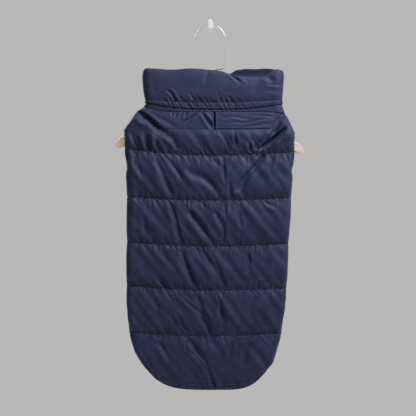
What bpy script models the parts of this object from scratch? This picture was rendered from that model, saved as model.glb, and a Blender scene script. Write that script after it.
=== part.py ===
"""A quilted dog winter coat on a small wooden hanger, hung from a wall hook.

The coat hangs neck up with the panel that covers the dog's back towards -Y and its belly
towards the wall, which is the plane y = 0. The origin is the middle of the hook's back face
on the wall, +Z is up and +X is the right of the coat as it is looked at.

Lengths in this file are millimetres. add_mesh and add_wire turn them into metres.
"""

import math

import bmesh
import bpy
import numpy as np

MM = 0.001

# ---------------------------------------------------------------- driving sizes of the cloth

SEAM_GAP = 0.4  # between two pieces that are sewn together
SIDE_SEAM_INSET = 1.0  # the belly panel starts this far inside the turn of the side
SEAM_WALL = 2.4  # both layers of shell cloth, stitched flat
BACK_PUFF_OUT = 5.2  # how far the filling lifts the shell between two quilting lines
BACK_PUFF_IN = 2.6  # the same on the lining
BELLY_PUFF_OUT = 3.2
BELLY_PUFF_IN = 2.0
PUFF_FULLNESS = 0.62  # below 1 gives each channel a round top and steep sides
EDGE_RAMP = 11.0  # the filling starts this far inside a panel's edge
SIDE_FILLING = 0.35  # share of the filling that is left where a panel turns round the side
SIDE_INSET = 2.8  # from the coat's outline to the middle of its wall
THINNEST = 0.8  # what a fold always leaves of the shell's lift

SPINE_X = 6.0  # the line down the back on which the leash slot lies
CHANNELS = 6  # quilted channels on the back
BELLY_CHANNELS = 4  # the belly stops here, which leaves the tail free
CHANNEL_ROWS = [0.0, 0.10, 0.27, 0.46, 0.68, 0.90]  # of points, from one quilting line to the next
CLOSEST_ROWS = 0.012

# The outline of the coat as it hangs, at the height z.
OUTLINE = [
    {"z": -117, "left": -99.8, "right": 110.0},
    {"z": -126, "left": -112.5, "right": 112.5},
    {"z": -138, "left": -121.0, "right": 119.0},
    {"z": -152, "left": -129.8, "right": 125.0},
    {"z": -168, "left": -134.0, "right": 130.5},
    {"z": -187, "left": -134.0, "right": 132.0},
    {"z": -204, "left": -131.0, "right": 130.5},
    {"z": -220, "left": -128.5, "right": 125.5},
    {"z": -260, "left": -127.5, "right": 123.5},
    {"z": -330, "left": -127.8, "right": 119.4},
    {"z": -396, "left": -128.2, "right": 116.4},
    {"z": -434, "left": -127.4, "right": 113.2},
    {"z": -464, "left": -124.8, "right": 109.8},
    {"z": -486, "left": -118.8, "right": 104.4},
    {"z": -507, "left": -108.0, "right": 97.5},
    {"z": -531, "left": -88.0, "right": 78.5},
]

# The lines of stitching between the channels, at their left end, middle and right end.
# The first is the neck seam, and bend says how late a line turns towards its ends.
QUILT_LINES = [
    {"left": -118.0, "middle": -128.6, "right": -119.6, "bend": 9.0},
    {"left": -183.0, "middle": -194.0, "right": -189.0, "bend": 2.0},
    {"left": -256.0, "middle": -261.5, "right": -258.0, "bend": 2.2},
    {"left": -323.5, "middle": -330.5, "right": -326.5, "bend": 2.2},
    {"left": -389.5, "middle": -397.0, "right": -394.5, "bend": 2.2},
    {"left": -460.5, "middle": -466.5, "right": -462.5, "bend": 2.2},
    {"left": -531.0, "middle": -549.5, "right": -531.0, "bend": 4.2},
]

# Where the middles of the front and rear walls lie, at each quilting line.
DEPTHS = [
    {"line": 0.0, "front": -28.8, "rear": -7.6},
    {"line": 0.6, "front": -30.0, "rear": -6.6},
    {"line": 1.0, "front": -29.8, "rear": -6.4},
    {"line": 1.6, "front": -29.6, "rear": -6.4},
    {"line": 2.5, "front": -27.0, "rear": -6.8},
    {"line": 4.0, "front": -24.0, "rear": -7.6},
    {"line": 5.0, "front": -20.5, "rear": -5.0},
    {"line": 6.0, "front": -17.0, "rear": -2.0},
]

# How far the back panel turns round the sides, in degrees, from the front.
WRAP = [
    {"line": 0.0, "degrees": 174.0},
    {"line": 4.0, "degrees": 174.0},
    {"line": 4.35, "degrees": 132.0},
    {"line": 5.0, "degrees": 74.0},
    {"line": 6.0, "degrees": 52.0},
]

# The largest folds of the back, as troughs between two points of the front.
FOLDS = [
    {"x0": -110, "z0": -131, "x1": -62, "z1": -166, "depth": 4.2, "width": 7.0},
    {"x0": 113, "z0": -156, "x1": 74, "z1": -186, "depth": 4.2, "width": 7.0},
    {"x0": 74, "z0": -196, "x1": 42, "z1": -248, "depth": 3.4, "width": 7.0},
    {"x0": -80, "z0": -203, "x1": -60, "z1": -250, "depth": 3.0, "width": 7.0},
    {"x0": -30, "z0": -210, "x1": 14, "z1": -255, "depth": 2.6, "width": 8.0},
    {"x0": -28, "z0": -276, "x1": 8, "z1": -324, "depth": 3.4, "width": 8.0},
    {"x0": -44, "z0": -336, "x1": -22, "z1": -390, "depth": 3.0, "width": 7.0},
    {"x0": -26, "z0": -405, "x1": 2, "z1": -460, "depth": 3.0, "width": 7.0},
    {"x0": -30, "z0": -476, "x1": 9, "z1": -540, "depth": 3.4, "width": 7.0},
]

# Leg holes: ovals in the cloth as it runs round the side, measured from where the front
# starts to turn. They are square at the top, where they hang on the hanger's arms.
LEG_HOLE_ARC = 30.0  # to their middle, round the side
LEG_HOLE_HALF_WIDTH = 20.0
LEG_HOLE_HALF_HEIGHT = 31.5
LEG_HOLE_POWER = {"top": 8.0, "bottom": 2.6}
LEG_HOLE_ROWS = [1.02, 0.99, 0.95, 0.80, -0.60, -0.85, -0.96, -1.02]  # heights of rows there
LEG_HOLE_Z = {"left": -189.3, "right": -194.2}

# ---------------------------------------------------------------- neck, collar and yoke

COLLAR_WALL = 3.0
CASING_WALL = 4.2
BAND_WALL = 2.4
NECK_LINES = {
    "collar_bottom": {"left": -110.0, "middle": -114.3, "right": -109.5, "bend": 2.0},
    "casing_bottom": {"left": -114.0, "middle": -121.8, "right": -114.6, "bend": 3.0},
    "band_bottom": QUILT_LINES[0],
}
# The collar from its rim down to the casing: outline and walls.
COLLAR_RINGS = [
    {"down": 0.0, "left": -100.0, "right": 109.0, "front": -26.5, "rear": -8.6},
    {"down": 0.12, "left": -100.6, "right": 109.0, "front": -28.0, "rear": -7.4},
    {"down": 0.45, "left": -99.4, "right": 107.8, "front": -29.2, "rear": -7.0},
    {"down": 0.80, "left": -98.0, "right": 107.0, "front": -29.2, "rear": -7.2},
    {"down": 1.0, "left": -97.0, "right": 107.2, "front": -28.8, "rear": -7.6},
]
# The rim sags where the collar gapes, more in front than behind.
COLLAR_RIM = [
    {"x": -101, "front": -63.0, "rear": -64.0},
    {"x": -60, "front": -65.6, "rear": -65.4},
    {"x": -30, "front": -63.8, "rear": -65.0},
    {"x": 4, "front": -65.0, "rear": -66.0},
    {"x": 30, "front": -70.8, "rear": -68.6},
    {"x": 44, "front": -77.0, "rear": -63.6},
    {"x": 62, "front": -78.0, "rear": -61.6},
    {"x": 83, "front": -74.5, "rear": -61.0},
    {"x": 97, "front": -66.5, "rear": -62.4},
    {"x": 109, "front": -66.5, "rear": -66.0},
]

YOKE_WALL = 1.5
YOKE_LIFT = 1.4  # keeps the yoke's facets off those of the panel under it
YOKE_TOP = 0.05  # in channels below the neck seam
YOKE_BOTTOM = 0.46
YOKE_LEFT_EDGE = (-87.0, -72.0)  # x at its top and at its bottom
YOKE_RIGHT_EDGE = (97.0, 93.0)
SLOT_WIDTH = 2.0
SLOT_TOP_Z = -131.5
SLOT_BOTTOM_Z = -154.0
WELT_WIDTH = 2.2
WELT_WALL = 1.6

# ---------------------------------------------------------------- hanger and wall hook

HANG_Y = -18.0  # the plane of the hanger
BAR_CENTRE = (1.3, -99.4)
BAR_TILT = math.radians(1.8)  # the right arm hangs lower
BAR_HALF_SPAN = 143.0
BAR_THICKNESS = 12.0
BAR_DEPTH_MIDDLE = 24.0
BAR_DEPTH_END = 16.0
BAR_SLOPE = 0.62  # of the arms at the middle
BAR_FLATTENING = 0.00068  # how fast that slope eases towards the ends
BAR_PEAK_HALF_WIDTH = 6.0  # the arms meet in a round peak
BAR_MIDDLE_HALF_WIDTH = 45.0  # and the bar is deeper this far from it
BAR_END_ROUNDING = 11.0
BAR_END_FACE = 0.16  # share of the section that is left at the very end
BAR_CORNER = 0.42  # power of the section's rounded corners, 1 for an ellipse
STEM_BORE = 1.9  # radius of the hole that takes the wire
STEM_DEPTH = 14.0  # of the wire in the bar
BORE_DEPTH = 18.0
STEM_RISE = 8.0  # the wire runs on in line with its hole

WIRE_RADIUS = 1.4
CROWN_RADIUS = 22.3
CROWN_TOP_GAP = 0.8  # over the middle of the arm, whose two edges the curved wire meets
CROWN_END_DEGREES = 176
JOG = {"stem_x": 3.2, "stem_z": -64.4, "leg_x": 20.4, "leg_z": -62.2}
WIRE_BEND_RADIUS = 3.0

ARM_WIDTH = 8.0
ARM_HEIGHT = 5.0
ARM_CHAMFER = 1.5
TONGUE_HEIGHT = 14.0
TONGUE_ROUNDING = 5.4  # height of its round top
# Sections of the wall hook from its front to the wall: the share of the full outline's width,
# and of its height above the arm.
WALL_HOOK_SECTIONS = [
    {"y": -29.0, "width": 0.55, "height": 0.75},
    {"y": -27.8, "width": 0.92, "height": 0.95},
    {"y": -27.0, "width": 1.00, "height": 1.00},
    {"y": -25.0, "width": 0.94, "height": 0.96},
    {"y": -25.0, "width": 0.94, "height": 0.02},
    {"y": -3.0, "width": 0.86, "height": 0.02},
    {"y": -3.0, "width": 0.86, "height": 0.90},
    {"y": 0.0, "width": 0.90, "height": 0.92},
]

NAVY = (0.045, 0.052, 0.105)
WOOD = (0.80, 0.62, 0.44)
STEEL = (0.72, 0.71, 0.69)
WHITE = (0.90, 0.90, 0.88)


# ---------------------------------------------------------------- small tools


def column(table, name):
    """One named column of a table."""
    return np.array([row[name] for row in table], float)


def smooth(xs, ys, at):
    """A smooth curve through the points (xs, ys) without overshoot, read at the places in at."""
    if xs[0] > xs[-1]:
        xs, ys = xs[::-1], ys[::-1]
    at = np.clip(at, xs[0], xs[-1])
    chords = np.diff(ys) / np.diff(xs)
    product = np.maximum(chords[:-1] * chords[1:], 0.0)
    total = chords[:-1] + chords[1:]
    inner = 2 * product / np.where(product > 0, total, 1.0)
    slopes = np.concatenate([chords[:1], inner, chords[-1:]])
    i = np.clip(np.searchsorted(xs, at) - 1, 0, len(xs) - 2)
    step = xs[i + 1] - xs[i]
    t = (at - xs[i]) / step
    start = (1 + 2 * t) * (1 - t) ** 2 * ys[i] + t * (1 - t) ** 2 * step * slopes[i]
    end = t * t * (3 - 2 * t) * ys[i + 1] + t * t * (t - 1) * step * slopes[i + 1]
    return start + end


def ease(low, high, value):
    """0 below low, 1 above high and smooth between them."""
    t = np.clip((value - low) / (high - low), 0.0, 1.0)
    return t * t * (3 - 2 * t)


def line_height(line, u):
    """The height of a line of stitching at u, from -1 at the left edge to 1 at the right."""
    end = np.where(u < 0, line["left"], line["right"])
    return line["middle"] + (end - line["middle"]) * np.abs(u) ** line["bend"]


def across_share(x, left, right):
    """Where x lies between the spine and the left or the right edge, from -1 to 1."""
    side = np.where(x < SPINE_X, SPINE_X - left, right - SPINE_X)
    return np.clip((x - SPINE_X) / side, -1, 1)


def row_height(v, u):
    """The height at v channels below the neck seam."""
    k = int(min(v, CHANNELS - 1e-9))
    t = v - k
    return (1 - t) * line_height(QUILT_LINES[k], u) + t * line_height(QUILT_LINES[k + 1], u)


def row_limits(v):
    """The left and right end of the middle of the coat's wall in the row v."""
    z = column(OUTLINE, "z")
    left = smooth(z, column(OUTLINE, "left"), row_height(v, -1.0))
    right = smooth(z, column(OUTLINE, "right"), row_height(v, 1.0))
    return float(left) + SIDE_INSET, float(right) - SIDE_INSET


def row_depth(v, side):
    """Where the middle of the front or the rear wall lies in the row v."""
    return float(smooth(column(DEPTHS, "line"), column(DEPTHS, side), v))


def puff(v):
    """How full the filling is at v, from 0 on a quilting line to 1 between two of them."""
    t = v - int(min(v, CHANNELS - 1e-9))
    return max(0.0, 4 * t * (1 - t)) ** PUFF_FULLNESS


def fold_depth(x, z):
    """How deep the folds of the back are at a point of the front."""
    total = np.zeros_like(x)
    for fold in FOLDS:
        along = np.array([fold["x1"] - fold["x0"], fold["z1"] - fold["z0"]], float)
        length = np.hypot(*along)
        along /= length
        dx, dz = x - fold["x0"], z - fold["z0"]
        run = (dx * along[0] + dz * along[1]) / length
        off = dx * along[1] - dz * along[0]
        fade = np.clip(4 * run * (1 - run), 0.0, 1.0) ** 0.5
        total += fold["depth"] * fade * np.exp(-((off / fold["width"]) ** 2))
    return total


def leg_hole_reach(side, z):
    """Half the width of a leg hole at the height z, 0 above and below it."""
    t = (z - LEG_HOLE_Z[side]) / LEG_HOLE_HALF_HEIGHT
    power = LEG_HOLE_POWER["top" if t > 0 else "bottom"]
    return LEG_HOLE_HALF_WIDTH * max(0.0, 1 - abs(t) ** power) ** (1 / power)


# ---------------------------------------------------------------- meshes


def material(name, colour, roughness, metallic=0.0):
    made = bpy.data.materials.new(name)
    made.use_nodes = True
    shader = made.node_tree.nodes["Principled BSDF"]
    shader.inputs["Base Color"].default_value = (*colour, 1.0)
    shader.inputs["Roughness"].default_value = roughness
    shader.inputs["Metallic"].default_value = metallic
    return made


def add_mesh(name, points, faces, finish):
    """A closed mesh from points in millimetres, with its faces turned outwards."""
    mesh = bpy.data.meshes.new(name)
    mesh.from_pydata([tuple(p) for p in np.asarray(points, float) * MM], [], faces)
    shape = bmesh.new()
    shape.from_mesh(mesh)
    bmesh.ops.recalc_face_normals(shape, faces=shape.faces[:])
    shape.to_mesh(mesh)
    shape.free()
    mesh.materials.append(finish)
    mesh.shade_smooth()
    mesh.set_sharp_from_angle(angle=math.radians(50))
    made = bpy.data.objects.new(name, mesh)
    bpy.context.scene.collection.objects.link(made)
    return made


def wall(name, outer, inner, finish, ring=False):
    """A wall of cloth between two grids of points, open, or closed into a ring."""
    rows, columns = outer.shape[:2]
    points = np.concatenate([outer.reshape(-1, 3), inner.reshape(-1, 3)])
    inside = rows * columns
    across = columns if ring else columns - 1
    faces = []
    for j in range(rows - 1):
        for i in range(across):
            a, b = j * columns + i, j * columns + (i + 1) % columns
            c, d = b + columns, a + columns
            faces.append((a, b, c, d))
            faces.append((inside + d, inside + c, inside + b, inside + a))
    for j in (0, rows - 1):
        for i in range(across):
            a, b = j * columns + i, j * columns + (i + 1) % columns
            faces.append((a, b, inside + b, inside + a))
    if not ring:
        for i in (0, columns - 1):
            for j in range(rows - 1):
                a, d = j * columns + i, (j + 1) * columns + i
                faces.append((a, d, inside + d, inside + a))
    return add_mesh(name, points, faces, finish)


def cut(target, cutter_name, points, faces):
    """Takes a closed helper shape out of target."""
    cutter = add_mesh(cutter_name, points, faces, target.data.materials[0])
    cutter.hide_render = True
    cutter.display_type = "WIRE"
    boolean = target.modifiers.new(cutter_name, "BOOLEAN")
    boolean.operation = "DIFFERENCE"
    boolean.object = cutter
    return cutter


def prism(outline, direction, start, end):
    """Points and faces of an outline pushed along one axis from start to end."""
    axis = "xyz".index(direction)
    others = [i for i in range(3) if i != axis]
    points = np.zeros((2 * len(outline), 3))
    for layer, level in enumerate((start, end)):
        block = points[layer * len(outline) : (layer + 1) * len(outline)]
        block[:, others] = outline
        block[:, axis] = level
    n = len(outline)
    sides = [(i, (i + 1) % n, n + (i + 1) % n, n + i) for i in range(n)]
    return points, [tuple(range(n)), tuple(range(2 * n - 1, n - 1, -1)), *sides]


# ---------------------------------------------------------------- the coat's panels


def channel_rows(channels):
    """The rows of a quilted panel: close together next to each line of stitching, and at
    the top and bottom of the leg holes."""
    rows = [k + t for k in range(channels) for t in CHANNEL_ROWS] + [float(channels)]
    for side in LEG_HOLE_Z:
        ends = -column(QUILT_LINES, side)
        for t in LEG_HOLE_ROWS:
            z = LEG_HOLE_Z[side] + t * LEG_HOLE_HALF_HEIGHT
            rows.append(float(np.interp(-z, ends, np.arange(len(ends)))))
    rows.sort()
    kept = rows[:1]
    for v in rows[1:]:
        on_line = v == round(v)
        if v - kept[-1] < CLOSEST_ROWS and on_line:
            kept.pop()
        if v - kept[-1] >= CLOSEST_ROWS or on_line:
            kept.append(v)
    return kept


def back_section(v, fractions):
    """The middle of the back panel's wall in the row v, its outward direction, how far each
    point is from the panel's side edge and how far the cloth has turned there. fractions run
    from -2 at the left edge, over -1 and 1 where the flat front starts to turn, to 2."""
    left, right = row_limits(v)
    front = row_depth(v, "front")
    radius = (row_depth(v, "rear") - front) / 2
    full_wrap = math.radians(float(smooth(column(WRAP, "line"), column(WRAP, "degrees"), v)))
    wraps = []
    for side, u in (("left", -1.0), ("right", 1.0)):
        hole = leg_hole_reach(side, row_height(v, u))
        limit = (LEG_HOLE_ARC - hole) / radius if hole else full_wrap
        wraps.append(min(full_wrap, limit))
    side = np.sign(fractions)
    wrap = np.where(side < 0, *wraps)
    flat = np.clip(fractions, -1, 1)
    bend = (np.abs(fractions) - np.abs(flat)) * wrap
    reach = radius * math.sin(min(full_wrap, math.pi / 2))
    edge = np.where(side < 0, SPINE_X - (left + reach), (right - reach) - SPINE_X)
    x = SPINE_X + flat * edge + side * radius * np.sin(bend)
    y = front + radius * (1 - np.cos(bend))
    z = row_height(v, across_share(x, left, right))
    outward = np.stack([side * np.sin(bend), -np.cos(bend), np.zeros_like(x)], axis=-1)
    from_edge = (1 - np.abs(flat)) * edge + (wrap - bend) * radius
    return np.stack([x, y, z], axis=-1), outward, from_edge, bend


def back_surface(v, fractions):
    """The shell's and the lining's points of the back panel in the row v."""
    middle, outward, from_edge, bend = back_section(v, fractions)
    turned = ease(math.radians(15), math.radians(80), bend)
    filling = puff(v) * ease(0, EDGE_RAMP, from_edge) ** 0.7 * (1 - (1 - SIDE_FILLING) * turned)
    lift = SEAM_WALL / 2 + BACK_PUFF_OUT * filling
    lift = lift - fold_depth(middle[:, 0], middle[:, 2]) * (1 - turned)
    lift = np.maximum(lift, THINNEST)[:, None]
    sink = (SEAM_WALL / 2 + BACK_PUFF_IN * filling)[:, None]
    return middle + outward * lift, middle - outward * sink


def back_columns():
    """The columns of the back panel: wide ones on the front, and the turn at each side."""
    return np.concatenate(
        [np.linspace(-2, -1, 5)[:-1], np.linspace(-1, 1, 25), np.linspace(1, 2, 5)[1:]]
    )


def make_back(finish):
    """The quilted panel over the dog's back, with the leash slot and the front of each leg hole."""
    fractions = back_columns()
    grids = [back_surface(v, fractions) for v in channel_rows(CHANNELS)]
    outer = np.array([g[0] for g in grids])
    inner = np.array([g[1] for g in grids])
    back = wall("back_panel", outer, inner, finish)
    half = SLOT_WIDTH / 2
    slot = [
        (SPINE_X - half, SLOT_BOTTOM_Z),
        (SPINE_X + half, SLOT_BOTTOM_Z),
        (SPINE_X + half, SLOT_TOP_Z),
        (SPINE_X - half, SLOT_TOP_Z),
    ]
    cut(back, "leash_slot", *prism(np.array(slot), "y", -50.0, -18.0))


def belly_edge(v, side):
    """The x of the belly panel's side edge in the row v: the side seam or the leg hole."""
    left, right = row_limits(v)
    radius = (row_depth(v, "rear") - row_depth(v, "front")) / 2
    limit, inward = (left, 1) if side == "left" else (right, -1)
    inset = SIDE_SEAM_INSET
    for _ in range(3):
        x = limit + inward * (radius + inset)
        hole = leg_hole_reach(side, row_height(v, float(across_share(x, left, right))))
        past_turn = LEG_HOLE_ARC + hole - math.pi * radius
        inset = max(SIDE_SEAM_INSET, past_turn) if hole else SIDE_SEAM_INSET
    return limit + inward * (radius + inset)


def make_belly(finish):
    """The quilted panel against the wall, from the neck seam to its own hem."""
    outer, inner = [], []
    for v in channel_rows(BELLY_CHANNELS):
        left, right = row_limits(v)
        rear = row_depth(v, "rear")
        x = np.linspace(belly_edge(v, "left"), belly_edge(v, "right"), 17)
        from_edge = np.minimum(x - x[0], x[-1] - x)
        z = row_height(v, across_share(x, left, right))
        filling = puff(v) * ease(0, EDGE_RAMP, from_edge) ** 0.7
        lift = SEAM_WALL / 2 + BELLY_PUFF_OUT * filling
        sink = SEAM_WALL / 2 + BELLY_PUFF_IN * filling
        outer.append(np.stack([x, rear + lift, z], axis=-1))
        inner.append(np.stack([x, rear - sink, z], axis=-1))
    wall("belly_panel", np.array(outer), np.array(inner), finish)


# ---------------------------------------------------------------- the rings round the neck


def ring_section(left, right, front, rear):
    """The middle line of a flattened tube, its outward direction, and u across it."""
    radius = (rear - front) / 2
    flat_left, flat_right = left + radius, right - radius
    across = np.linspace(flat_left, flat_right, 15)
    turn = np.linspace(0, math.pi, 6)[1:-1]
    middle = (front + rear) / 2
    level = np.zeros_like(across)
    right_x, left_x = flat_right + radius * np.sin(turn), flat_left - radius * np.sin(turn)
    x = np.concatenate([across, right_x, across[::-1], left_x])
    y = middle + radius * np.concatenate([level - 1, -np.cos(turn), level + 1, np.cos(turn)])
    out_x = np.concatenate([level, np.sin(turn), level, -np.sin(turn)])
    outward = np.stack([out_x, (y - middle) / radius, np.zeros_like(x)], axis=-1)
    return x, y, outward, across_share(x, left, right)


def make_collar(finish):
    """The tall collar: a doubled strip, closed into a tube, whose rim gapes on the right."""
    outer, inner = [], []
    rim_x = column(COLLAR_RIM, "x")
    for ring in COLLAR_RINGS:
        x, y, outward, u = ring_section(ring["left"], ring["right"], ring["front"], ring["rear"])
        share = ease(ring["front"] + 3, ring["rear"] - 3, y)
        rim_front = smooth(rim_x, column(COLLAR_RIM, "front"), x)
        rim_rear = smooth(rim_x, column(COLLAR_RIM, "rear"), x)
        top = rim_front * (1 - share) + rim_rear * share
        bottom = line_height(NECK_LINES["collar_bottom"], u) + SEAM_GAP
        middle = np.stack([x, y, top + (bottom - top) * ring["down"]], axis=-1)
        half = COLLAR_WALL / 2 * (0.6 if ring["down"] in (0.0, 1.0) else 1.0)
        outer.append(middle + outward * half)
        inner.append(middle - outward * half)
    wall("collar", np.array(outer), np.array(inner), finish, ring=True)


def neck_ring(name, top_line, bottom_line, thickness, bulge, finish):
    """A narrow ring of cloth between two lines of stitching round the neck."""
    left, right = COLLAR_RINGS[-1]["left"], COLLAR_RINGS[-1]["right"]
    front, rear = COLLAR_RINGS[-1]["front"], COLLAR_RINGS[-1]["rear"]
    x, y, outward, u = ring_section(left, right, front, rear)
    top = line_height(top_line, u)
    bottom = line_height(bottom_line, u) + SEAM_GAP
    outer, inner = [], []
    for down, lift in ((0.0, 0.0), (0.5, bulge), (1.0, 0.0)):
        middle = np.stack([x, y, top + (bottom - top) * down], axis=-1)
        outer.append(middle + outward * (thickness / 2 + lift))
        inner.append(middle - outward * thickness / 2)
    wall(name, np.array(outer), np.array(inner), finish, ring=True)


# ---------------------------------------------------------------- the yoke and its slot


def on_back(v, x):
    """Points of the back panel's shell in one of its rows, on its facets, at the places x."""
    shell = back_surface(v, back_columns())[0]
    return np.stack([np.interp(x, shell[:, 0], shell[:, i]) for i in range(3)], axis=-1)


def patch(name, starts, ends, count, thickness, finish):
    """A flat piece sewn on the back. starts and ends are its edges at the top and bottom row,
    and its inner face follows the panel's own points."""
    rows = [v for v in channel_rows(CHANNELS) if YOKE_TOP <= v <= YOKE_BOTTOM]
    outer, inner = [], []
    for v in rows:
        share = (v - rows[0]) / (rows[-1] - rows[0])
        start = starts[0] + (starts[1] - starts[0]) * share
        end = ends[0] + (ends[1] - ends[0]) * share
        points = on_back(v, np.linspace(start, end, count))
        outer.append(points - np.array([0, YOKE_LIFT + thickness, 0]))
        inner.append(points - np.array([0, YOKE_LIFT, 0]))
    wall(name, np.array(outer), np.array(inner), finish)


def make_yoke(finish):
    """The yoke below the neck band, in two halves with the leash slot between them."""
    half_slot = SLOT_WIDTH / 2 + WELT_WIDTH + SEAM_GAP
    slot_left, slot_right = SPINE_X - half_slot, SPINE_X + half_slot
    patch("yoke_left", YOKE_LEFT_EDGE, (slot_left, slot_left), 21, YOKE_WALL, finish)
    patch("yoke_right", (slot_right, slot_right), YOKE_RIGHT_EDGE, 21, YOKE_WALL, finish)
    for side, sign in (("left", -1), ("right", 1)):
        near = SPINE_X + sign * SLOT_WIDTH / 2
        far = near + sign * WELT_WIDTH
        start, end = min(near, far), max(near, far)
        patch(f"slot_welt_{side}", (start, start), (end, end), 2, WELT_WALL, finish)


# ---------------------------------------------------------------- hanger and wall hook


def make_bar(finish):
    """The wooden hanger: two arms in one bar, round at the ends, bored for the wire."""
    places = BAR_HALF_SPAN * np.sin(np.linspace(-math.pi / 2, math.pi / 2, 29))
    corners = np.linspace(0, 2 * math.pi, 12, endpoint=False)
    round_y = np.sign(np.cos(corners)) * np.abs(np.cos(corners)) ** BAR_CORNER
    round_z = np.sign(np.sin(corners)) * np.abs(np.sin(corners)) ** BAR_CORNER
    points, faces = [], []
    for x in places:
        from_end = min(1.0, (BAR_HALF_SPAN - abs(x)) / BAR_END_ROUNDING)
        rounding = max(BAR_END_FACE, math.sqrt(1 - (1 - from_end) ** 2))
        middle_share = math.exp(-((x / BAR_MIDDLE_HALF_WIDTH) ** 2))
        depth = BAR_DEPTH_END + (BAR_DEPTH_MIDDLE - BAR_DEPTH_END) * middle_share
        top = -BAR_SLOPE * math.hypot(x, BAR_PEAK_HALF_WIDTH) + BAR_FLATTENING * x * x
        for y_share, z_share in zip(round_y, round_z):
            y = BAR_THICKNESS / 2 * y_share * max(rounding, 0.5)
            points.append((x, y, top - depth / 2 + depth / 2 * z_share * rounding))
    n = len(corners)
    for s in range(len(places) - 1):
        for i in range(n):
            a, b = s * n + i, s * n + (i + 1) % n
            faces.append((a, b, b + n, a + n))
    last = (len(places) - 1) * n
    faces += [tuple(range(n)), tuple(last + i for i in range(n))]
    bar = add_mesh("hanger_bar", points, faces, finish)
    bar.location = np.array([BAR_CENTRE[0], HANG_Y, BAR_CENTRE[1]]) * MM
    bar.rotation_euler = (0, BAR_TILT, 0)
    turn = np.linspace(0, 2 * math.pi, 12, endpoint=False)
    outline = np.stack([np.cos(turn), np.sin(turn)], axis=-1) * STEM_BORE
    bore, bore_faces = prism(outline, "z", -BORE_DEPTH, BAR_PEAK_HALF_WIDTH)
    cutter = cut(bar, "stem_bore", bore, bore_faces)
    cutter.parent = bar


def bend_corner(before, corner, after, radius, steps=5):
    """Points of an arc that rounds a corner of a path in the x-z plane."""
    corner = np.array(corner, float)
    inward = np.array(before, float) - corner
    onward = np.array(after, float) - corner
    inward /= np.linalg.norm(inward)
    onward /= np.linalg.norm(onward)
    half = math.acos(np.clip(inward @ onward, -1, 1)) / 2
    tangent = radius / math.tan(half)
    middle = corner + (inward + onward) / np.linalg.norm(inward + onward) * radius / math.sin(half)
    first, last = corner + inward * tangent, corner + onward * tangent
    a0 = math.atan2(*(first - middle)[::-1])
    a1 = math.atan2(*(last - middle)[::-1])
    swing = (a1 - a0 + math.pi) % (2 * math.pi) - math.pi
    angles = a0 + swing * np.linspace(0, 1, steps)
    return middle + radius * np.stack([np.cos(angles), np.sin(angles)], axis=-1)


def add_wire(name, path, radius, finish):
    """A round wire along a path in the hanger's plane."""
    curve = bpy.data.curves.new(name, "CURVE")
    curve.dimensions = "3D"
    curve.bevel_depth = radius * MM
    curve.bevel_resolution = 2
    curve.use_fill_caps = True
    spline = curve.splines.new("POLY")
    spline.points.add(len(path) - 1)
    for point, (x, z) in zip(spline.points, path):
        point.co = (x * MM, HANG_Y * MM, z * MM, 1.0)
    curve.materials.append(finish)
    made = bpy.data.objects.new(name, curve)
    bpy.context.scene.collection.objects.link(made)


def make_wire_hook(finish):
    """The wire: up from the bar, a jog to the right, then over the wall hook."""
    crown_z = ARM_HEIGHT / 2 + CROWN_TOP_GAP + WIRE_RADIUS - CROWN_RADIUS
    lean = math.tan(BAR_TILT)
    stem_foot = (BAR_CENTRE[0] - lean * STEM_DEPTH, BAR_CENTRE[1] - STEM_DEPTH)
    stem_mouth = (BAR_CENTRE[0] + lean * STEM_RISE, BAR_CENTRE[1] + STEM_RISE)
    stem_top = (JOG["stem_x"], JOG["stem_z"])
    leg_foot = (JOG["leg_x"], JOG["leg_z"])
    leg_top = (CROWN_RADIUS, crown_z)
    turn = np.radians(np.linspace(0, CROWN_END_DEGREES, 23))
    crown = np.stack(
        [CROWN_RADIUS * np.cos(turn), crown_z + CROWN_RADIUS * np.sin(turn)], axis=-1
    )
    path = [
        np.array([stem_foot, stem_mouth]),
        bend_corner(stem_mouth, stem_top, leg_foot, WIRE_BEND_RADIUS),
        bend_corner(stem_top, leg_foot, leg_top, WIRE_BEND_RADIUS),
        crown,
    ]
    add_wire("hanger_hook", np.concatenate(path), WIRE_RADIUS, finish)


def make_wall_hook(finish):
    """The white hook: a plate on the wall, an arm, and a round-topped tongue in front."""
    half = ARM_WIDTH / 2
    arm_top = ARM_HEIGHT / 2
    turn = np.linspace(0, math.pi, 9)
    round_top = np.stack([half * np.cos(turn), TONGUE_ROUNDING * np.sin(turn)], axis=-1)
    round_top[:, 1] += TONGUE_HEIGHT - arm_top - TONGUE_ROUNDING
    chamfer = half - ARM_CHAMFER
    side_foot = ARM_CHAMFER - arm_top
    foot = [(-half, side_foot), (-chamfer, -arm_top), (chamfer, -arm_top), (half, side_foot)]
    outline = np.concatenate([round_top, foot])
    points = []
    for section in WALL_HOOK_SECTIONS:
        above = np.maximum(outline[:, 1] - arm_top, 0.0)
        height = outline[:, 1] - above * (1 - section["height"])
        points += [(x * section["width"], section["y"], z) for x, z in zip(outline[:, 0], height)]
    n = len(outline)
    faces = []
    for s in range(len(WALL_HOOK_SECTIONS) - 1):
        for i in range(n):
            a, b = s * n + i, s * n + (i + 1) % n
            faces.append((a, b, b + n, a + n))
    last = (len(WALL_HOOK_SECTIONS) - 1) * n
    faces += [tuple(range(n)), tuple(last + i for i in range(n))]
    add_mesh("wall_hook", points, faces, finish)


# ---------------------------------------------------------------- the whole object


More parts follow.
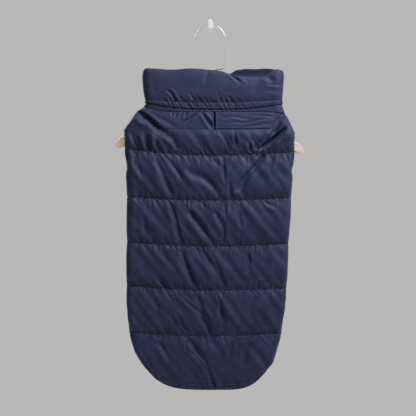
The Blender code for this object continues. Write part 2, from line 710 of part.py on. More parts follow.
def main():
    for old in list(bpy.data.objects):
        bpy.data.objects.remove(old)
    navy = material("navy_nylon", NAVY, 0.5)
    make_back(navy)
    make_belly(navy)
    make_collar(navy)
    neck_ring(
        "elastic_casing", NECK_LINES["collar_bottom"], NECK_LINES["casing_bottom"], CASING_WALL, 0.8, navy
    )
    neck_ring(
        "neck_band", NECK_LINES["casing_bottom"], NECK_LINES["band_bottom"], BAND_WALL, 0.0, navy
    )
    make_yoke(navy)
    make_bar(material("pale_wood", WOOD, 0.55))
    make_wire_hook(material("steel_wire", STEEL, 0.3, 1.0))
    make_wall_hook(material("white_plastic", WHITE, 0.35))


main()
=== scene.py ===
"""The looks of a quilted dog winter coat that hangs on a small wooden hanger.

Every cloth piece is a grid of points that starts on the form of its CAD part and gets its folds
and puckers. The panels and the collar are then settled as cloth on their padding by relax().
Lengths in the tables and grids are millimetres; add_mesh turns them into metres.
"""

import math

import bpy
import numpy as np
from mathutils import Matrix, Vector


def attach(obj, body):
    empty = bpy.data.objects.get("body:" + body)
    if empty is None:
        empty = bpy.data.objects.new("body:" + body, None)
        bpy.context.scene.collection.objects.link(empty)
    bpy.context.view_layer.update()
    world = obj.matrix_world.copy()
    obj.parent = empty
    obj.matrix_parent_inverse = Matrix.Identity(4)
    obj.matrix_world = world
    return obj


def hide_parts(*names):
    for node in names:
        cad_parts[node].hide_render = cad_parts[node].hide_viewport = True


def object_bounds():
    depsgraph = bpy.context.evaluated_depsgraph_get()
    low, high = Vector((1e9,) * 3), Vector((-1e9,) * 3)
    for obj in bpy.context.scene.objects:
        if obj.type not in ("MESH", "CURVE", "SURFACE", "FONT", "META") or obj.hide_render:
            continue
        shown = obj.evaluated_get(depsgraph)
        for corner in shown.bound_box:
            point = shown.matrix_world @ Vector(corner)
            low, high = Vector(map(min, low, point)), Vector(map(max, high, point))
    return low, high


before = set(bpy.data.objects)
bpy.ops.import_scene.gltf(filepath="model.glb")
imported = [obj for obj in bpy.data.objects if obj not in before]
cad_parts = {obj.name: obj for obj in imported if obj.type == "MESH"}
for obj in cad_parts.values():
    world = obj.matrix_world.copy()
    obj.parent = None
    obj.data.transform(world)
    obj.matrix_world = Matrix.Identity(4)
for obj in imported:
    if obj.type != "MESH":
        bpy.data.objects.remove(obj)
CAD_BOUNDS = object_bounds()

MM = 0.001
rng = np.random.default_rng(7)


def table(names, *rows):
    """A table's rows as dictionaries, from its columns' names and each row's values."""
    columns = names.split()
    return [dict(zip(columns, row)) for row in rows]


# ---------------------------------------------------------------- the coat's sizes, as in the part

SEAM_WALL = 2.4
BACK_PUFF_OUT = 5.2
BACK_PUFF_IN = 2.6
BELLY_PUFF_OUT = 3.2
BELLY_PUFF_IN = 2.0
PUFF_FULLNESS = 0.62
EDGE_RAMP = 11.0
SIDE_FILLING = 0.35
SIDE_INSET = 2.8
SIDE_SEAM_INSET = 1.0
SPINE_X = 6.0
CHANNELS = 6
BELLY_CHANNELS = 4

OUTLINE = table(
    "z left right",
    (-117, -99.8, 110.0),
    (-126, -112.5, 112.5),
    (-138, -121.0, 119.0),
    (-152, -129.8, 125.0),
    (-168, -134.0, 130.5),
    (-187, -134.0, 132.0),
    (-204, -131.0, 130.5),
    (-220, -128.5, 125.5),
    (-260, -127.5, 123.5),
    (-330, -127.8, 119.4),
    (-396, -128.2, 116.4),
    (-434, -127.4, 113.2),
    (-464, -124.8, 109.8),
    (-486, -118.8, 104.4),
    (-507, -108.0, 97.5),
    (-531, -88.0, 78.5),
)
QUILT_LINES = table(
    "left middle right bend",
    (-119.0, -128.6, -131.5, 7.0),
    (-183.0, -194.0, -189.0, 2.0),
    (-256.0, -261.5, -258.0, 2.2),
    (-323.5, -330.5, -326.5, 2.2),
    (-389.5, -397.0, -394.5, 2.2),
    (-460.5, -466.5, -462.5, 2.2),
    (-531.0, -549.5, -531.0, 4.2),
)
DEPTHS = table(
    "line front rear",
    (0.0, -28.8, -7.6),
    (0.6, -30.0, -6.6),
    (1.0, -29.8, -6.4),
    (1.6, -29.6, -6.4),
    (2.5, -27.0, -6.8),
    (4.0, -24.0, -7.6),
    (5.0, -20.5, -5.0),
    (6.0, -17.0, -2.0),
)
WRAP = table(
    "line degrees",
    (0.0, 174.0),
    (4.0, 174.0),
    (4.35, 132.0),
    (5.0, 74.0),
    (6.0, 52.0),
)
LEG_HOLE_ARC = 30.0
LEG_HOLE_HALF_WIDTH = 20.0
LEG_HOLE_HALF_HEIGHT = 31.5
LEG_HOLE_POWER = {"top": 4.5, "bottom": 2.6}
LEG_HOLE_Z = {"left": -189.3, "right": -194.2}

# ---------------------------------------------------------------- creases and puckers

# Creases of the back, from (x0, z0) to (x1, z1). A negative depth is a ridge.
CREASES = table(
    "x0 z0 x1 z1 depth width",
    # the left shoulder, where the cloth hangs from the hanger's arm
    (-113, -126, -80, -154, 7.0, 3.2),
    (-92, -146, -58, -171, 4.0, 4.0),
    (-100, -119, -94, -128, 2.5, 2.5),
    (-106, -160, -100, -185, -2.2, 4.0),
    (-99, -166, -90, -187, 3.2, 3.0),
    (-90, -160, -82, -185, -2.0, 4.0),
    (-80, -168, -75, -188, 2.6, 3.0),
    (-119, -160, -114, -184, 2.2, 3.0),
    (-60, -164, -49, -186, 1.8, 3.5),
    # the right shoulder
    (111, -127, 90, -156, 6.0, 3.6),
    (114, -154, 76, -186, 5.5, 3.4),
    (80, -166, 66, -186, 2.8, 3.2),
    (96, -176, 84, -189, 2.0, 2.6),
    (35, -162, 36, -184, 1.8, 2.2),
    (58, -172, 60, -191, 2.6, 2.4),
    # the second channel
    (82, -194, 60, -221, 3.6, 4.2),
    (62, -217, 42, -250, 3.8, 4.6),
    (96, -198, 84, -216, 2.2, 3.0),
    (21, -196, 22, -236, 1.6, 2.4),
    (27, -232, 31, -258, 2.4, 2.8),
    (-84, -200, -56, -256, 3.2, 4.4),
    (-62, -200, -40, -232, 2.2, 4.0),
    (-38, -208, 16, -251, 3.0, 5.0),
    (-112, -206, -101, -230, 1.8, 3.4),
    # the third channel
    (-60, -264, -44, -327, 2.8, 4.2),
    (-32, -274, 7, -328, 4.4, 4.4),
    (5, -276, 20, -305, 2.8, 3.6),
    (20, -302, 20, -325, 2.4, 3.0),
    (24, -263, 24, -288, 2.0, 2.4),
    (41, -275, 46, -306, 2.2, 3.2),
    (79, -262, 99, -272, 1.8, 2.6),
    (-103, -282, -94, -312, 1.6, 4.0),
    # the fourth channel
    (-44, -334, -22, -396, 3.2, 4.2),
    (-14, -336, 25, -391, 3.4, 4.6),
    (56, -340, 58, -367, 2.2, 2.8),
    (-78, -378, -64, -396, 2.2, 3.0),
    (88, -352, 76, -380, 1.8, 3.6),
    # the fifth channel
    (-27, -402, 3, -466, 3.6, 4.2),
    (14, -410, 21, -454, 2.4, 3.4),
    (-51, -434, -31, -465, 2.6, 3.2),
    (-86, -408, -74, -430, 1.8, 3.4),
    (70, -404, 58, -436, 1.8, 3.6),
    # the tail
    (-32, -474, -8, -506, 3.2, 4.0),
    (-10, -502, 9, -546, 2.6, 3.4),
    (32, -474, 28, -500, 2.0, 3.2),
    (62, -476, 48, -512, 2.2, 4.0),
    (-78, -476, -60, -504, 2.2, 3.6),
)
BELLY_CREASES = table(
    "x0 z0 x1 z1 depth width",
    (-84, -140, -50, -182, 2.2, 4.0),
    (88, -142, 58, -186, 2.4, 4.2),
    (-20, -150, 4, -190, 1.6, 4.0),
    (-70, -204, -38, -256, 2.0, 4.4),
    (66, -206, 40, -250, 2.0, 4.0),
    (12, -210, 2, -256, 1.4, 3.6),
    (-32, -276, -4, -324, 2.0, 4.2),
    (74, -270, 52, -316, 1.8, 4.4),
    (-88, -338, -70, -382, 1.6, 4.0),
    (22, -340, 8, -388, 2.0, 4.0),
)

CREASE_RIDGE = {"share": 0.35, "offset": 2.0, "width": 1.5}  # along each crease's upper side

# Puckers: short troughs along every line of stitching, drawn between these limits.
PUCKERS = {
    "spacing": (4.0, 12.5),
    "length": (6.0, 20.0),
    "depth": (0.2, 1.7),
    "width": (1.3, 2.6),
    "lean": (0.05, 0.75),
}
FINE_PUCKERS = {
    "spacing": (2.2, 8.0),
    "length": (3.0, 10.0),
    "depth": (0.2, 0.8),
    "width": (0.7, 1.2),
    "lean": (-0.3, 0.8),
}
PUCKER_BOW = (-3.0, 3.0)
USUAL_PUCKERS = 0.8  # the share with a usual length; the others are LONG_PUCKER times as long
LONG_PUCKER = 1.6
PUCKER_START = 0.8  # from the line of stitching
PUCKER_IN_SEAM = 0.25  # the share of a pucker's depth that is left in the stitching itself
BACK_PUCKERS = (-131.0, 127.0)  # where they start and end across
BELLY_PUCKERS = (-120.0, 116.0)
BELLY_PUCKER_SHARE = 0.7

# Fine wrinkles between the lines of stitching, most of them on the left.
WRINKLES = {
    "count": 260,
    "left_share": 0.62,
    "spread": 62.0,
    "depth": (0.25, 0.95),
    "width": (0.8, 1.7),
    "length": (9.0, 34.0),
    "degrees": (38, 84),
    "bow": (-5.0, 5.0),
    "half_width": 125.0,
}

# Sharp folds that are pressed into the settled cloth, each a line of points.
SHARP_FOLDS = table(
    "depth width points",
    (4.2, 1.9, [(-110, -124), (-93, -138), (-78, -152), (-64, -160)]),
    (1.3, 1.6, [(-100, -148), (-84, -163), (-68, -176), (-58, -184)]),
    (5.0, 2.2, [(113, -130), (100, -153), (92, -163), (76, -184)]),
    (4.4, 2.0, [(117, -150), (102, -163), (86, -176), (71, -187)]),
    (1.8, 1.8, [(12, -158), (22, -170), (29, -190)]),
    (1.5, 1.6, [(36, -158), (37, -174), (31, -191)]),
    (2.2, 1.6, [(60, -168), (70, -182), (67, -194)]),
    (2.2, 1.7, [(92, -180), (80, -195), (69, -207)]),
    (1.6, 1.5, [(-112, -166), (-104, -178), (-101, -188)]),
    (2.8, 2.4, [(76, -200), (60, -218), (44, -236), (36, -250)]),
    (1.0, 1.1, [(21, -160), (20, -196), (22, -236), (20, -262)]),
    (1.2, 1.4, [(0, -194), (12, -208), (24, -216)]),
    (1.1, 1.4, [(48, -194), (36, -206), (27, -222)]),
    (1.6, 1.5, [(-62, -262), (-52, -288), (-44, -318), (-40, -329)]),
    (1.1, 1.4, [(-70, -270), (-48, -292), (-20, -318)]),
    (1.0, 1.2, [(20, -262), (17, -284), (21, -306), (18, -330)]),
    (3.0, 1.5, [(-46, -335), (-38, -352), (-28, -376), (-19, -396)]),
    (1.7, 1.5, [(-6, -333), (8, -352), (18, -376), (24, -396)]),
    (1.1, 1.3, [(-22, -334), (-12, -350), (0, -368)]),
    (1.1, 1.2, [(32, -333), (32, -345), (30, -357)]),
    (1.4, 1.3, [(56, -342), (60, -356), (57, -372)]),
    (1.1, 1.3, [(-86, -372), (-72, -388), (-60, -396)]),
    (1.7, 1.3, [(4, -400), (16, -418), (18, -446), (21, -464)]),
    (2.4, 1.5, [(-52, -400), (-27, -422), (-4, -440), (0, -464)]),
    (1.0, 1.5, [(-90, -425), (-70, -440), (-54, -456)]),
    (0.9, 1.8, [(108, -413), (84, -431), (54, -441)]),
    (0.8, 1.6, [(109, -429), (97, -444), (68, -455)]),
    (1.6, 1.6, [(-40, -402), (-14, -424), (2, -446), (6, -466)]),
    (1.4, 1.3, [(-60, -436), (-48, -450), (-38, -466)]),
    (3.2, 1.3, [(-33, -469), (-37, -484), (-23, -496), (-12, -511), (9, -547)]),
    (0.9, 1.2, [(-74, -534), (-44, -529), (-4, -531), (8, -541)]),
    (1.0, 1.5, [(72, -468), (83, -479), (93, -489)]),
    (0.9, 1.4, [(36, -468), (42, -480), (40, -492)]),
)

# The grids of the two panels, and how much larger the cloth is than its padding.
BACK_GRID = {"rows": 24, "flat": 93, "turn": 13}
BELLY_GRID = {"rows": 20, "across": 69}
ROW_CROWDING = 0.75
FULLNESS = 0.055  # extra cloth across, next to the stitching, that buckles into puckers
EASE_ACROSS = 1.012
EASE_DOWN = 1.015
UNEVENNESS = 0.05  # the random start from which the cloth buckles
LEAST_HALF_WALL = 0.4
# How strongly the solver mends the lengths of links, and slides cloth back along the padding.
EDGE_PULL = 0.9
BEND_PULL = 0.25
SHEAR_PULL = 0.18
SLIDE_PULL = 0.02
SETTLE_STEPS = 220

HEM_STITCH = 9.0  # from the hem's edge to its line of stitching
HEM_GROOVE = {"depth": 1.6, "width": 1.5, "least_lift": 2.0}
LAST_CHANNEL = {"back": 80.0, "belly": 67.0, "thread": 75.0}  # its height, for the hem's place

# ---------------------------------------------------------------- collar and neck

COLLAR_WALL = 3.0
COLLAR_ROWS = {"outside": 24, "rim": 5, "inside": 14}
COLLAR_GRID = {"across": 66, "around": 12}
COLLAR_PLUMP = {"edge": 0.5, "middle": 1.4}
COLLAR_DENT_LIMIT = 0.4
CASING_BULGE = 1.0
BAND_BULGE = 0.2
NECK_GRID = {"across": 150, "around": 16}
# Rings of the casing and the band: the share of their height, and how much of the bulge the
# outside has there. The last three, without one, are the inside.
NECK_PROFILE = [
    (0.04, -0.5),
    (0.0, 0.0),
    (0.1, 0.55),
    (0.3, 1),
    (0.5, 1),
    (0.7, 1),
    (0.9, 0.55),
    (1.0, 0.0),
    (0.96, -0.5),
    (0.96, None),
    (0.5, None),
    (0.04, None),
]
CASING_WALL = 4.2
BAND_WALL = 2.4
SEAM_GAP = 0.4
NECK_LINES = {
    "collar_bottom": {"left": -111.0, "middle": -114.6, "right": -110.5, "bend": 2.0},
    "casing_bottom": {"left": -113.5, "middle": -124.0, "right": -116.0, "bend": 2.6},
    "band_bottom": QUILT_LINES[0],
}
COLLAR_RINGS = table(
    "down left right front rear",
    (0.0, -100.0, 109.0, -26.5, -8.6),
    (0.12, -100.6, 109.0, -28.0, -7.4),
    (0.45, -99.4, 107.8, -29.2, -7.0),
    (0.80, -98.0, 107.0, -29.2, -7.2),
    (1.0, -97.0, 107.2, -28.8, -7.6),
)
COLLAR_RIM = table(
    "x front rear",
    (-101, -63.0, -64.0),
    (-78, -64.4, -64.8),
    (-58, -65.6, -65.4),
    (-30, -63.8, -65.0),
    (0, -66.0, -66.0),
    (16, -68.0, -68.0),
    (29, -72.0, -68.6),
    (40, -74.5, -63.6),
    (56, -76.0, -61.6),
    (71, -76.5, -61.8),
    (83, -75.5, -61.0),
    (93, -68.5, -61.6),
    (101, -65.2, -63.0),
    (109, -66.5, -66.0),
)
COLLAR_CREASES = table(
    "x0 z0 x1 z1 depth width",
    (22, -64, 44, -84, 2.4, 1.9),
    (30, -66, 52, -84, -1.2, 2.6),
    (-3, -64, -9, -90, 0.7, 4.0),
    (-68, -96, -50, -114, 1.6, 1.4),
    (-62, -94, -46, -111, -1.0, 1.6),
    (-30, -100, -20, -114, 1.2, 1.3),
    (12, -96, 14, -112, 0.9, 1.3),
    (82, -86, 100, -90, 0.7, 2.0),
    (80, -94, 102, -99, 0.6, 2.0),
    (-92, -66, -84, -100, 0.9, 7.0),
    (76, -78, 66, -106, 0.9, 8.0),
    (84, -74, 92, -86, 1.6, 3.0),
)
GATHERS = {"from": -64.0, "to": 62.0}  # where the elastic draws the casing together
RUCHES = {
    "spacing": (3.4, 7.4),
    "depth": (1.0, 2.4),
    "width": (1.1, 1.9),
    "lean": (0.35, 1.0),
    "reach": (5.0, 15.0),  # how far each runs up into the collar
    "reach_down": 5.0,
    "rear_share": 0.5,
}

YOKE_TOP = 0.005
YOKE_BOTTOM = 0.40
YOKE_LEFT_EDGE = (-96.0, -70.0)
YOKE_RIGHT_EDGE = (99.0, 90.0)
YOKE_CREASES = table(
    "x0 z0 x1 z1 depth width",
    (-20, -127, -37, -146, 2.4, 1.7),
    (-24, -127, -42, -146, -1.2, 2.2),
    (-17, -129, 4, -155, 2.2, 1.7),
    (-12, -127, 6, -148, -1.0, 2.2),
    (-34, -127, -40, -138, 1.6, 1.4),
    (-42, -127, -48, -140, 1.5, 1.4),
    (-50, -126, -54, -138, 1.3, 1.5),
    (-59, -126, -58, -136, 1.2, 1.4),
    (-88, -128, -50, -156, 1.2, 3.2),
    (12, -136, 60, -138, 0.5, 1.6),
    (24, -146, 92, -141, 0.6, 1.6),
    (50, -151, 96, -147, 0.6, 1.8),
    (64, -134, 100, -138, 0.5, 1.5),
)
SLOT_WIDTH = 1.4
SLOT_DEPTH = 4.0
SLOT_END = (0.34, 0.37)  # the rows between which the slot runs out
WELT_WIDTH = 2.4
LIP_RISE = 1.0
YOKE_LIFT = 0.1
YOKE_SINK = 0.8  # how far the panel is pressed in under the yoke
YOKE_WALL = {"left": 0.25, "right": 0.9}
YOKE_GRID = {"rows": 24, "cloth": 56, "lip": 6}
YOKE_LEAST_RISE = 0.5  # above the panel

# The bar tack under the slot: points as x and the row.
BAR_TACK = [
    [(-8.0, 0.425), (8.0, 0.418)],
    [(-8.0, 0.427), (-8.0, 0.475)],
    [(-8.0, 0.435), (8.0, 0.428)],
]

STITCH = {"length": 2.3, "pitch": 3.1, "sides": 6, "radius": 0.26, "wide": 1.15, "high": 0.8, "lift": 0.1}
# Places along a stitch, in shares of its length, and its thickness there.
STITCH_PROFILE = [(-0.5, 0.35), (-0.42, 0.85), (-0.2, 1.0), (0.2, 1.0), (0.42, 0.85), (0.5, 0.35)]
THREAD_LIFT = 0.25

# ---------------------------------------------------------------- hanger and wall hook

HANG_Y = -18.0
BAR_CENTRE = (1.3, -99.4)
BAR_TILT = math.radians(1.8)
BAR_HALF_SPAN = 143.0
BAR_THICKNESS = 12.0
BAR_DEPTH_MIDDLE = 24.0
BAR_DEPTH_END = 16.0
BAR_SLOPE = 0.62
BAR_FLATTENING = 0.00068
BAR_PEAK_HALF_WIDTH = 6.0
BAR_MIDDLE_HALF_WIDTH = 45.0
BAR_END_ROUNDING = 11.0
BAR_CORNER = 0.42
BAR_GRID = {"along": 121, "around": 48}
STEM_DEPTH = 4.0
STEM_RISE = 8.0
WIRE_RADIUS = 1.4
CROWN_RADIUS = 22.3
CROWN_TOP_GAP = 0.8
CROWN_END_DEGREES = 176
WIRE_TIP = [(0.5, 0.87), (0.85, 0.5), (1.0, 0.2), (1.02, 0.02)]  # reach and radius, in wire radii
JOG = {"stem_x": 3.2, "stem_z": -63.4, "leg_x": 20.4, "leg_z": -61.2}
WIRE_BEND_RADIUS = 3.0
ARM_WIDTH = 8.0
ARM_HEIGHT = 5.0
ARM_CHAMFER = 1.5
TONGUE_HEIGHT = 14.0
TONGUE_ROUNDING = 5.4
# Depth from the wall, share of the outline's width, and share of its height above the arm.
WALL_HOOK_SECTIONS = [
    (-29.0, 0.45, 0.70),
    (-28.85, 0.62, 0.80),
    (-28.5, 0.78, 0.88),
    (-28.0, 0.90, 0.94),
    (-27.4, 0.97, 0.985),
    (-26.8, 1.0, 1.0),
    (-25.9, 1.0, 1.0),
    (-25.3, 0.97, 0.98),
    (-25.0, 0.92, 0.94),
    (-25.0, 0.88, 0.02),
    (-3.0, 0.86, 0.02),
    (-3.0, 0.86, 0.90),
    (-2.8, 0.89, 0.92),
    (0.0, 0.90, 0.92),
]

# ---------------------------------------------------------------- the view, in metres

CAMERA_LENS = 70.0
CAMERA_SENSOR = 36.0
WIDTH_SEEN = 0.624
VIEW_DEPTH = 0.006  # behind the coat's front, where WIDTH_SEEN is measured
VIEW_CENTRE = (-0.0036, -0.273)
LAMPS = [
    {
        "name": "key",
        "place": (0.56, -0.52, 0.62),
        "aim": (0.0, 0.0, -0.2),
        "size": 0.35,
        "watts": 43,
        "colour": (1.0, 0.98, 0.95),
    },
    {
        "name": "rear",
        "place": (-0.8, 1.2, 0.7),
        "aim": (0.0, 0.0, -0.3),
        "size": 0.8,
        "watts": 45,
        "colour": (1.0, 0.99, 0.97),
    },
]
SKY = {"colour": (0.93, 0.915, 0.89, 1.0), "strength": 0.77}
SQUARE = [(-1, -1), (1, -1), (1, 1), (-1, 1)]
FLOOR = {"z": -0.9, "half": 1.1, "colour": (0.8, 0.78, 0.75, 1), "roughness": 0.8}


# ---------------------------------------------------------------- small tools


def column(rows, name):
    """One column of a table."""
    return np.array([row[name] for row in rows], float)


def smooth(xs, ys, at):
    """A smooth curve through the points (xs, ys) without overshoot, read at the places in at."""
    if xs[0] > xs[-1]:
        xs, ys = xs[::-1], ys[::-1]
    at = np.clip(at, xs[0], xs[-1])
    chords = np.diff(ys) / np.diff(xs)
    product = np.maximum(chords[:-1] * chords[1:], 0.0)
    total = chords[:-1] + chords[1:]
    inner = 2 * product / np.where(product > 0, total, 1.0)
    slopes = np.concatenate([chords[:1], inner, chords[-1:]])
    i = np.clip(np.searchsorted(xs, at) - 1, 0, len(xs) - 2)
    step = xs[i + 1] - xs[i]
    t = (at - xs[i]) / step
    start = (1 + 2 * t) * (1 - t) ** 2 * ys[i] + t * (1 - t) ** 2 * step * slopes[i]
    end = t * t * (3 - 2 * t) * ys[i + 1] + t * t * (t - 1) * step * slopes[i + 1]
    return start + end


def ease(low, high, value):
    """0 below low, 1 above high and smooth between them."""
    t = np.clip((value - low) / (high - low), 0.0, 1.0)
    return t * t * (3 - 2 * t)


def line_height(line, u):
    """The height of a line of stitching at u, from -1 at its left end to 1 at its right end."""
    end = np.where(u < 0, line["left"], line["right"])
    return line["middle"] + (end - line["middle"]) * np.abs(u) ** line["bend"]


def channel_of(v):
    """The channel that row v is in. A row's whole number is a line of stitching."""
    return int(min(v, CHANNELS - 1e-9))


def row_height(v, u):
    """The height of row v at u, between the lines of stitching above and below it."""
    k = channel_of(v)
    t = v - k
    return (1 - t) * line_height(QUILT_LINES[k], u) + t * line_height(QUILT_LINES[k + 1], u)


def across_share(x, left, right):
    """Where x lies across the coat: -1 at left, 0 on the spine and 1 at right."""
    side = np.where(x < SPINE_X, SPINE_X - left, right - SPINE_X)
    return np.clip((x - SPINE_X) / side, -1, 1)


def row_limits(v):
    """How far the middle of the cloth reaches to the left and to the right in row v."""
    z = column(OUTLINE, "z")
    left = smooth(z, column(OUTLINE, "left"), row_height(v, -1.0))
    right = smooth(z, column(OUTLINE, "right"), row_height(v, 1.0))
    return float(left) + SIDE_INSET, float(right) - SIDE_INSET


def row_depth(v, side):
    """How far from the wall the cloth lies in row v, at its "front" or its "rear"."""
    return float(smooth(column(DEPTHS, "line"), column(DEPTHS, side), v))


def puff(v):
    """How full the padding is in row v: 0 on a line of stitching and 1 halfway between two."""
    t = v - channel_of(v)
    return max(0.0, 4 * t * (1 - t)) ** PUFF_FULLNESS


def leg_hole_reach(side, z):
    """Half the width of a leg opening at the height z, and 0 above and below it."""
    t = (z - LEG_HOLE_Z[side]) / LEG_HOLE_HALF_HEIGHT
    power = LEG_HOLE_POWER["top" if t > 0 else "bottom"]
    return LEG_HOLE_HALF_WIDTH * max(0.0, 1 - abs(t) ** power) ** (1 / power)


# ---------------------------------------------------------------- how deep creases are


def draw(limits):
    """A random number between two limits."""
    return rng.uniform(*limits)


def make_waves(count, lengths, height, lean=(0, 180)):
    """Plane waves of the given range of lengths, which run in the range of directions lean, in
    degrees from the horizontal."""
    made = []
    for _ in range(count):
        angle = math.radians(draw(lean))
        turns = 2 * math.pi / draw(lengths)
        made.append(
            {
                "x": turns * math.cos(angle),
                "z": turns * math.sin(angle),
                "phase": draw((0, 2 * math.pi)),
                "height": height * draw((0.5, 1.0)) / math.sqrt(count),
            }
        )
    return made


# How far a crease wanders off its line, and the panels' broad low undulations.
WANDER_X = make_waves(9, (16.0, 60.0), 2.2)
WANDER_Z = make_waves(9, (16.0, 60.0), 2.2)
SOFT_FOLDS = make_waves(14, (9.0, 42.0), 0.8, (20.0, 44.0)) + make_waves(8, (14.0, 40.0), 0.3)


def waves(x, z, made):
    """A smooth irregular field: the sum of many plane waves."""
    total = np.zeros_like(x)
    for wave in made:
        total += wave["height"] * np.sin(x * wave["x"] + z * wave["z"] + wave["phase"])
    return total


def run_and_offset(x, z, crease):
    """Where points lie along a crease, from 0 to 1, and how far off its line they are."""
    along = np.array([crease["x1"] - crease["x0"], crease["z1"] - crease["z0"]], float)
    length = np.hypot(*along)
    along /= length
    dx, dz = x - crease["x0"], z - crease["z0"]
    return (dx * along[0] + dz * along[1]) / length, dx * along[1] - dz * along[0]


def trough(x, z, crease):
    """How deep a crease is at each point: full along its middle, fading to both ends, with a
    low ridge along its upper side."""
    run, off = run_and_offset(x, z, crease)
    off = off / crease["width"]
    fade = np.clip(4 * run * (1 - run), 0.0, 1.0) ** 0.8
    ridge_side = -1 if crease["x1"] > crease["x0"] else 1
    ridge_off = (off * ridge_side + CREASE_RIDGE["offset"]) / CREASE_RIDGE["width"]
    ridge = CREASE_RIDGE["share"] * np.exp(-(ridge_off**2))
    return crease["depth"] * fade * (np.exp(-(off**2)) - ridge)


def total_of(creases, x, z):
    """The creases together, each wandering a little off its straight line."""
    shift_x, shift_z = waves(x, z, WANDER_X), waves(x, z, WANDER_Z)
    total = np.zeros_like(x)
    for crease in creases:
        total += trough(x + shift_x, z + shift_z, crease)
    return total


def fold_along(x, z, fold, samples=60):
    """How deep a sharp fold is at each point, along a smooth line through its points."""
    marks = np.array(fold["points"], float)
    t = np.linspace(0, 1, len(marks))
    fine = np.linspace(0, 1, samples)
    line = np.stack([smooth(t, marks[:, i], fine) for i in range(2)], axis=-1)
    gap = np.stack([x[..., None] - line[:, 0], z[..., None] - line[:, 1]], axis=-1)
    distance = np.linalg.norm(gap, axis=-1)
    nearest = fine[distance.argmin(-1)]
    fade = np.clip(4 * nearest * (1 - nearest), 0.0, 1.0) ** 0.5
    return fold["depth"] * fade * np.exp(-((distance.min(-1) / fold["width"]) ** 2))


def puckers(limits, channels, left, right, scale=1.0):
    """Short troughs on both sides of each line of stitching, leaning down towards the spine."""
    made = []
    for k in range(1, channels + 1):
        for down in (-1, 1):
            x = left + draw(limits["spacing"])
            while x < right:
                z = float(line_height(QUILT_LINES[k], across_share(np.array(x), left, right)))
                length = draw(limits["length"]) * (1.0 if rng.random() < USUAL_PUCKERS else LONG_PUCKER)
                lean = draw(limits["lean"]) * (1 if x < SPINE_X else -1) * rng.choice([1, 1, 1, -0.4])
                made.append(
                    {
                        "x0": x,
                        "z0": z + down * PUCKER_START,
                        "x1": x - down * lean * length,
                        "z1": z + down * length,
                        "depth": draw(limits["depth"]) * scale,
                        "width": draw(limits["width"]),
                        "bow": draw(PUCKER_BOW),
                    }
                )
                x += draw(limits["spacing"])
    return made


def wrinkles(channels):
    """Fine wrinkles that run down towards the spine, most of them near a line of stitching."""
    made = []
    for _ in range(WRINKLES["count"]):
        side = -1 if rng.random() < WRINKLES["left_share"] else 1
        x = SPINE_X + side * abs(rng.normal(0, WRINKLES["spread"]))
        v = rng.integers(0, channels) + rng.beta(0.7, 0.7)
        z = float(row_height(min(v, channels - 0.01), min(1.0, abs(x) / WRINKLES["half_width"])))
        length = draw(WRINKLES["length"])
        angle = math.radians(draw(WRINKLES["degrees"]))
        made.append(
            {
                "x0": x,
                "z0": z,
                "x1": x - side * length * math.cos(angle),
                "z1": z - length * math.sin(angle),
                "depth": draw(WRINKLES["depth"]) * rng.choice([1, 1, -0.7]),
                "width": draw(WRINKLES["width"]),
                "bow": draw(WRINKLES["bow"]),
            }
        )
    return made


def pucker_depth(x, z, made):
    """Like trough, but deepest next to the stitching, and only worked out close to each one."""
    total = np.zeros_like(x)
    for p in made:
        reach = 3 * p["width"] + 1
        low_x, high_x = min(p["x0"], p["x1"]) - reach, max(p["x0"], p["x1"]) + reach
        low_z, high_z = min(p["z0"], p["z1"]) - reach, max(p["z0"], p["z1"]) + reach
        near = (x > low_x) & (x < high_x) & (z > low_z) & (z < high_z)
        if not near.any():
            continue
        run, off = run_and_offset(x[near], z[near], p)
        off = off + p["bow"] * run * run
        fade = ease(-0.12, 0.12, run) * (1 - ease(0.15, 1.0, run))
        total[near] += p["depth"] * fade * np.exp(-((off / p["width"]) ** 2))
    return total


# ---------------------------------------------------------------- cloth


def normals_of(grid, ring=False):
    """Unit normals of a grid of points, on the side of rows x columns."""
    down = np.gradient(grid, axis=0)
    if ring:
        across = (np.roll(grid, -1, axis=1) - np.roll(grid, 1, axis=1)) / 2
    else:
        across = np.gradient(grid, axis=1)
    n = np.cross(down, across)
    return n / np.maximum(np.linalg.norm(n, axis=-1, keepdims=True), 1e-9)


def spans(count, reach, ring):
    """Pairs of indices, reach apart, in sets within which no index comes twice."""
    first = np.arange(count if ring else count - reach)
    second = (first + reach) % count
    sets = []
    for part in range(2):
        chosen = (first // reach) % 2 == part
        if ring:
            chosen &= first < count - reach
        sets.append((first[chosen], second[chosen]))
    if ring:
        sets.append((first[-reach:], second[-reach:]))
    return sets


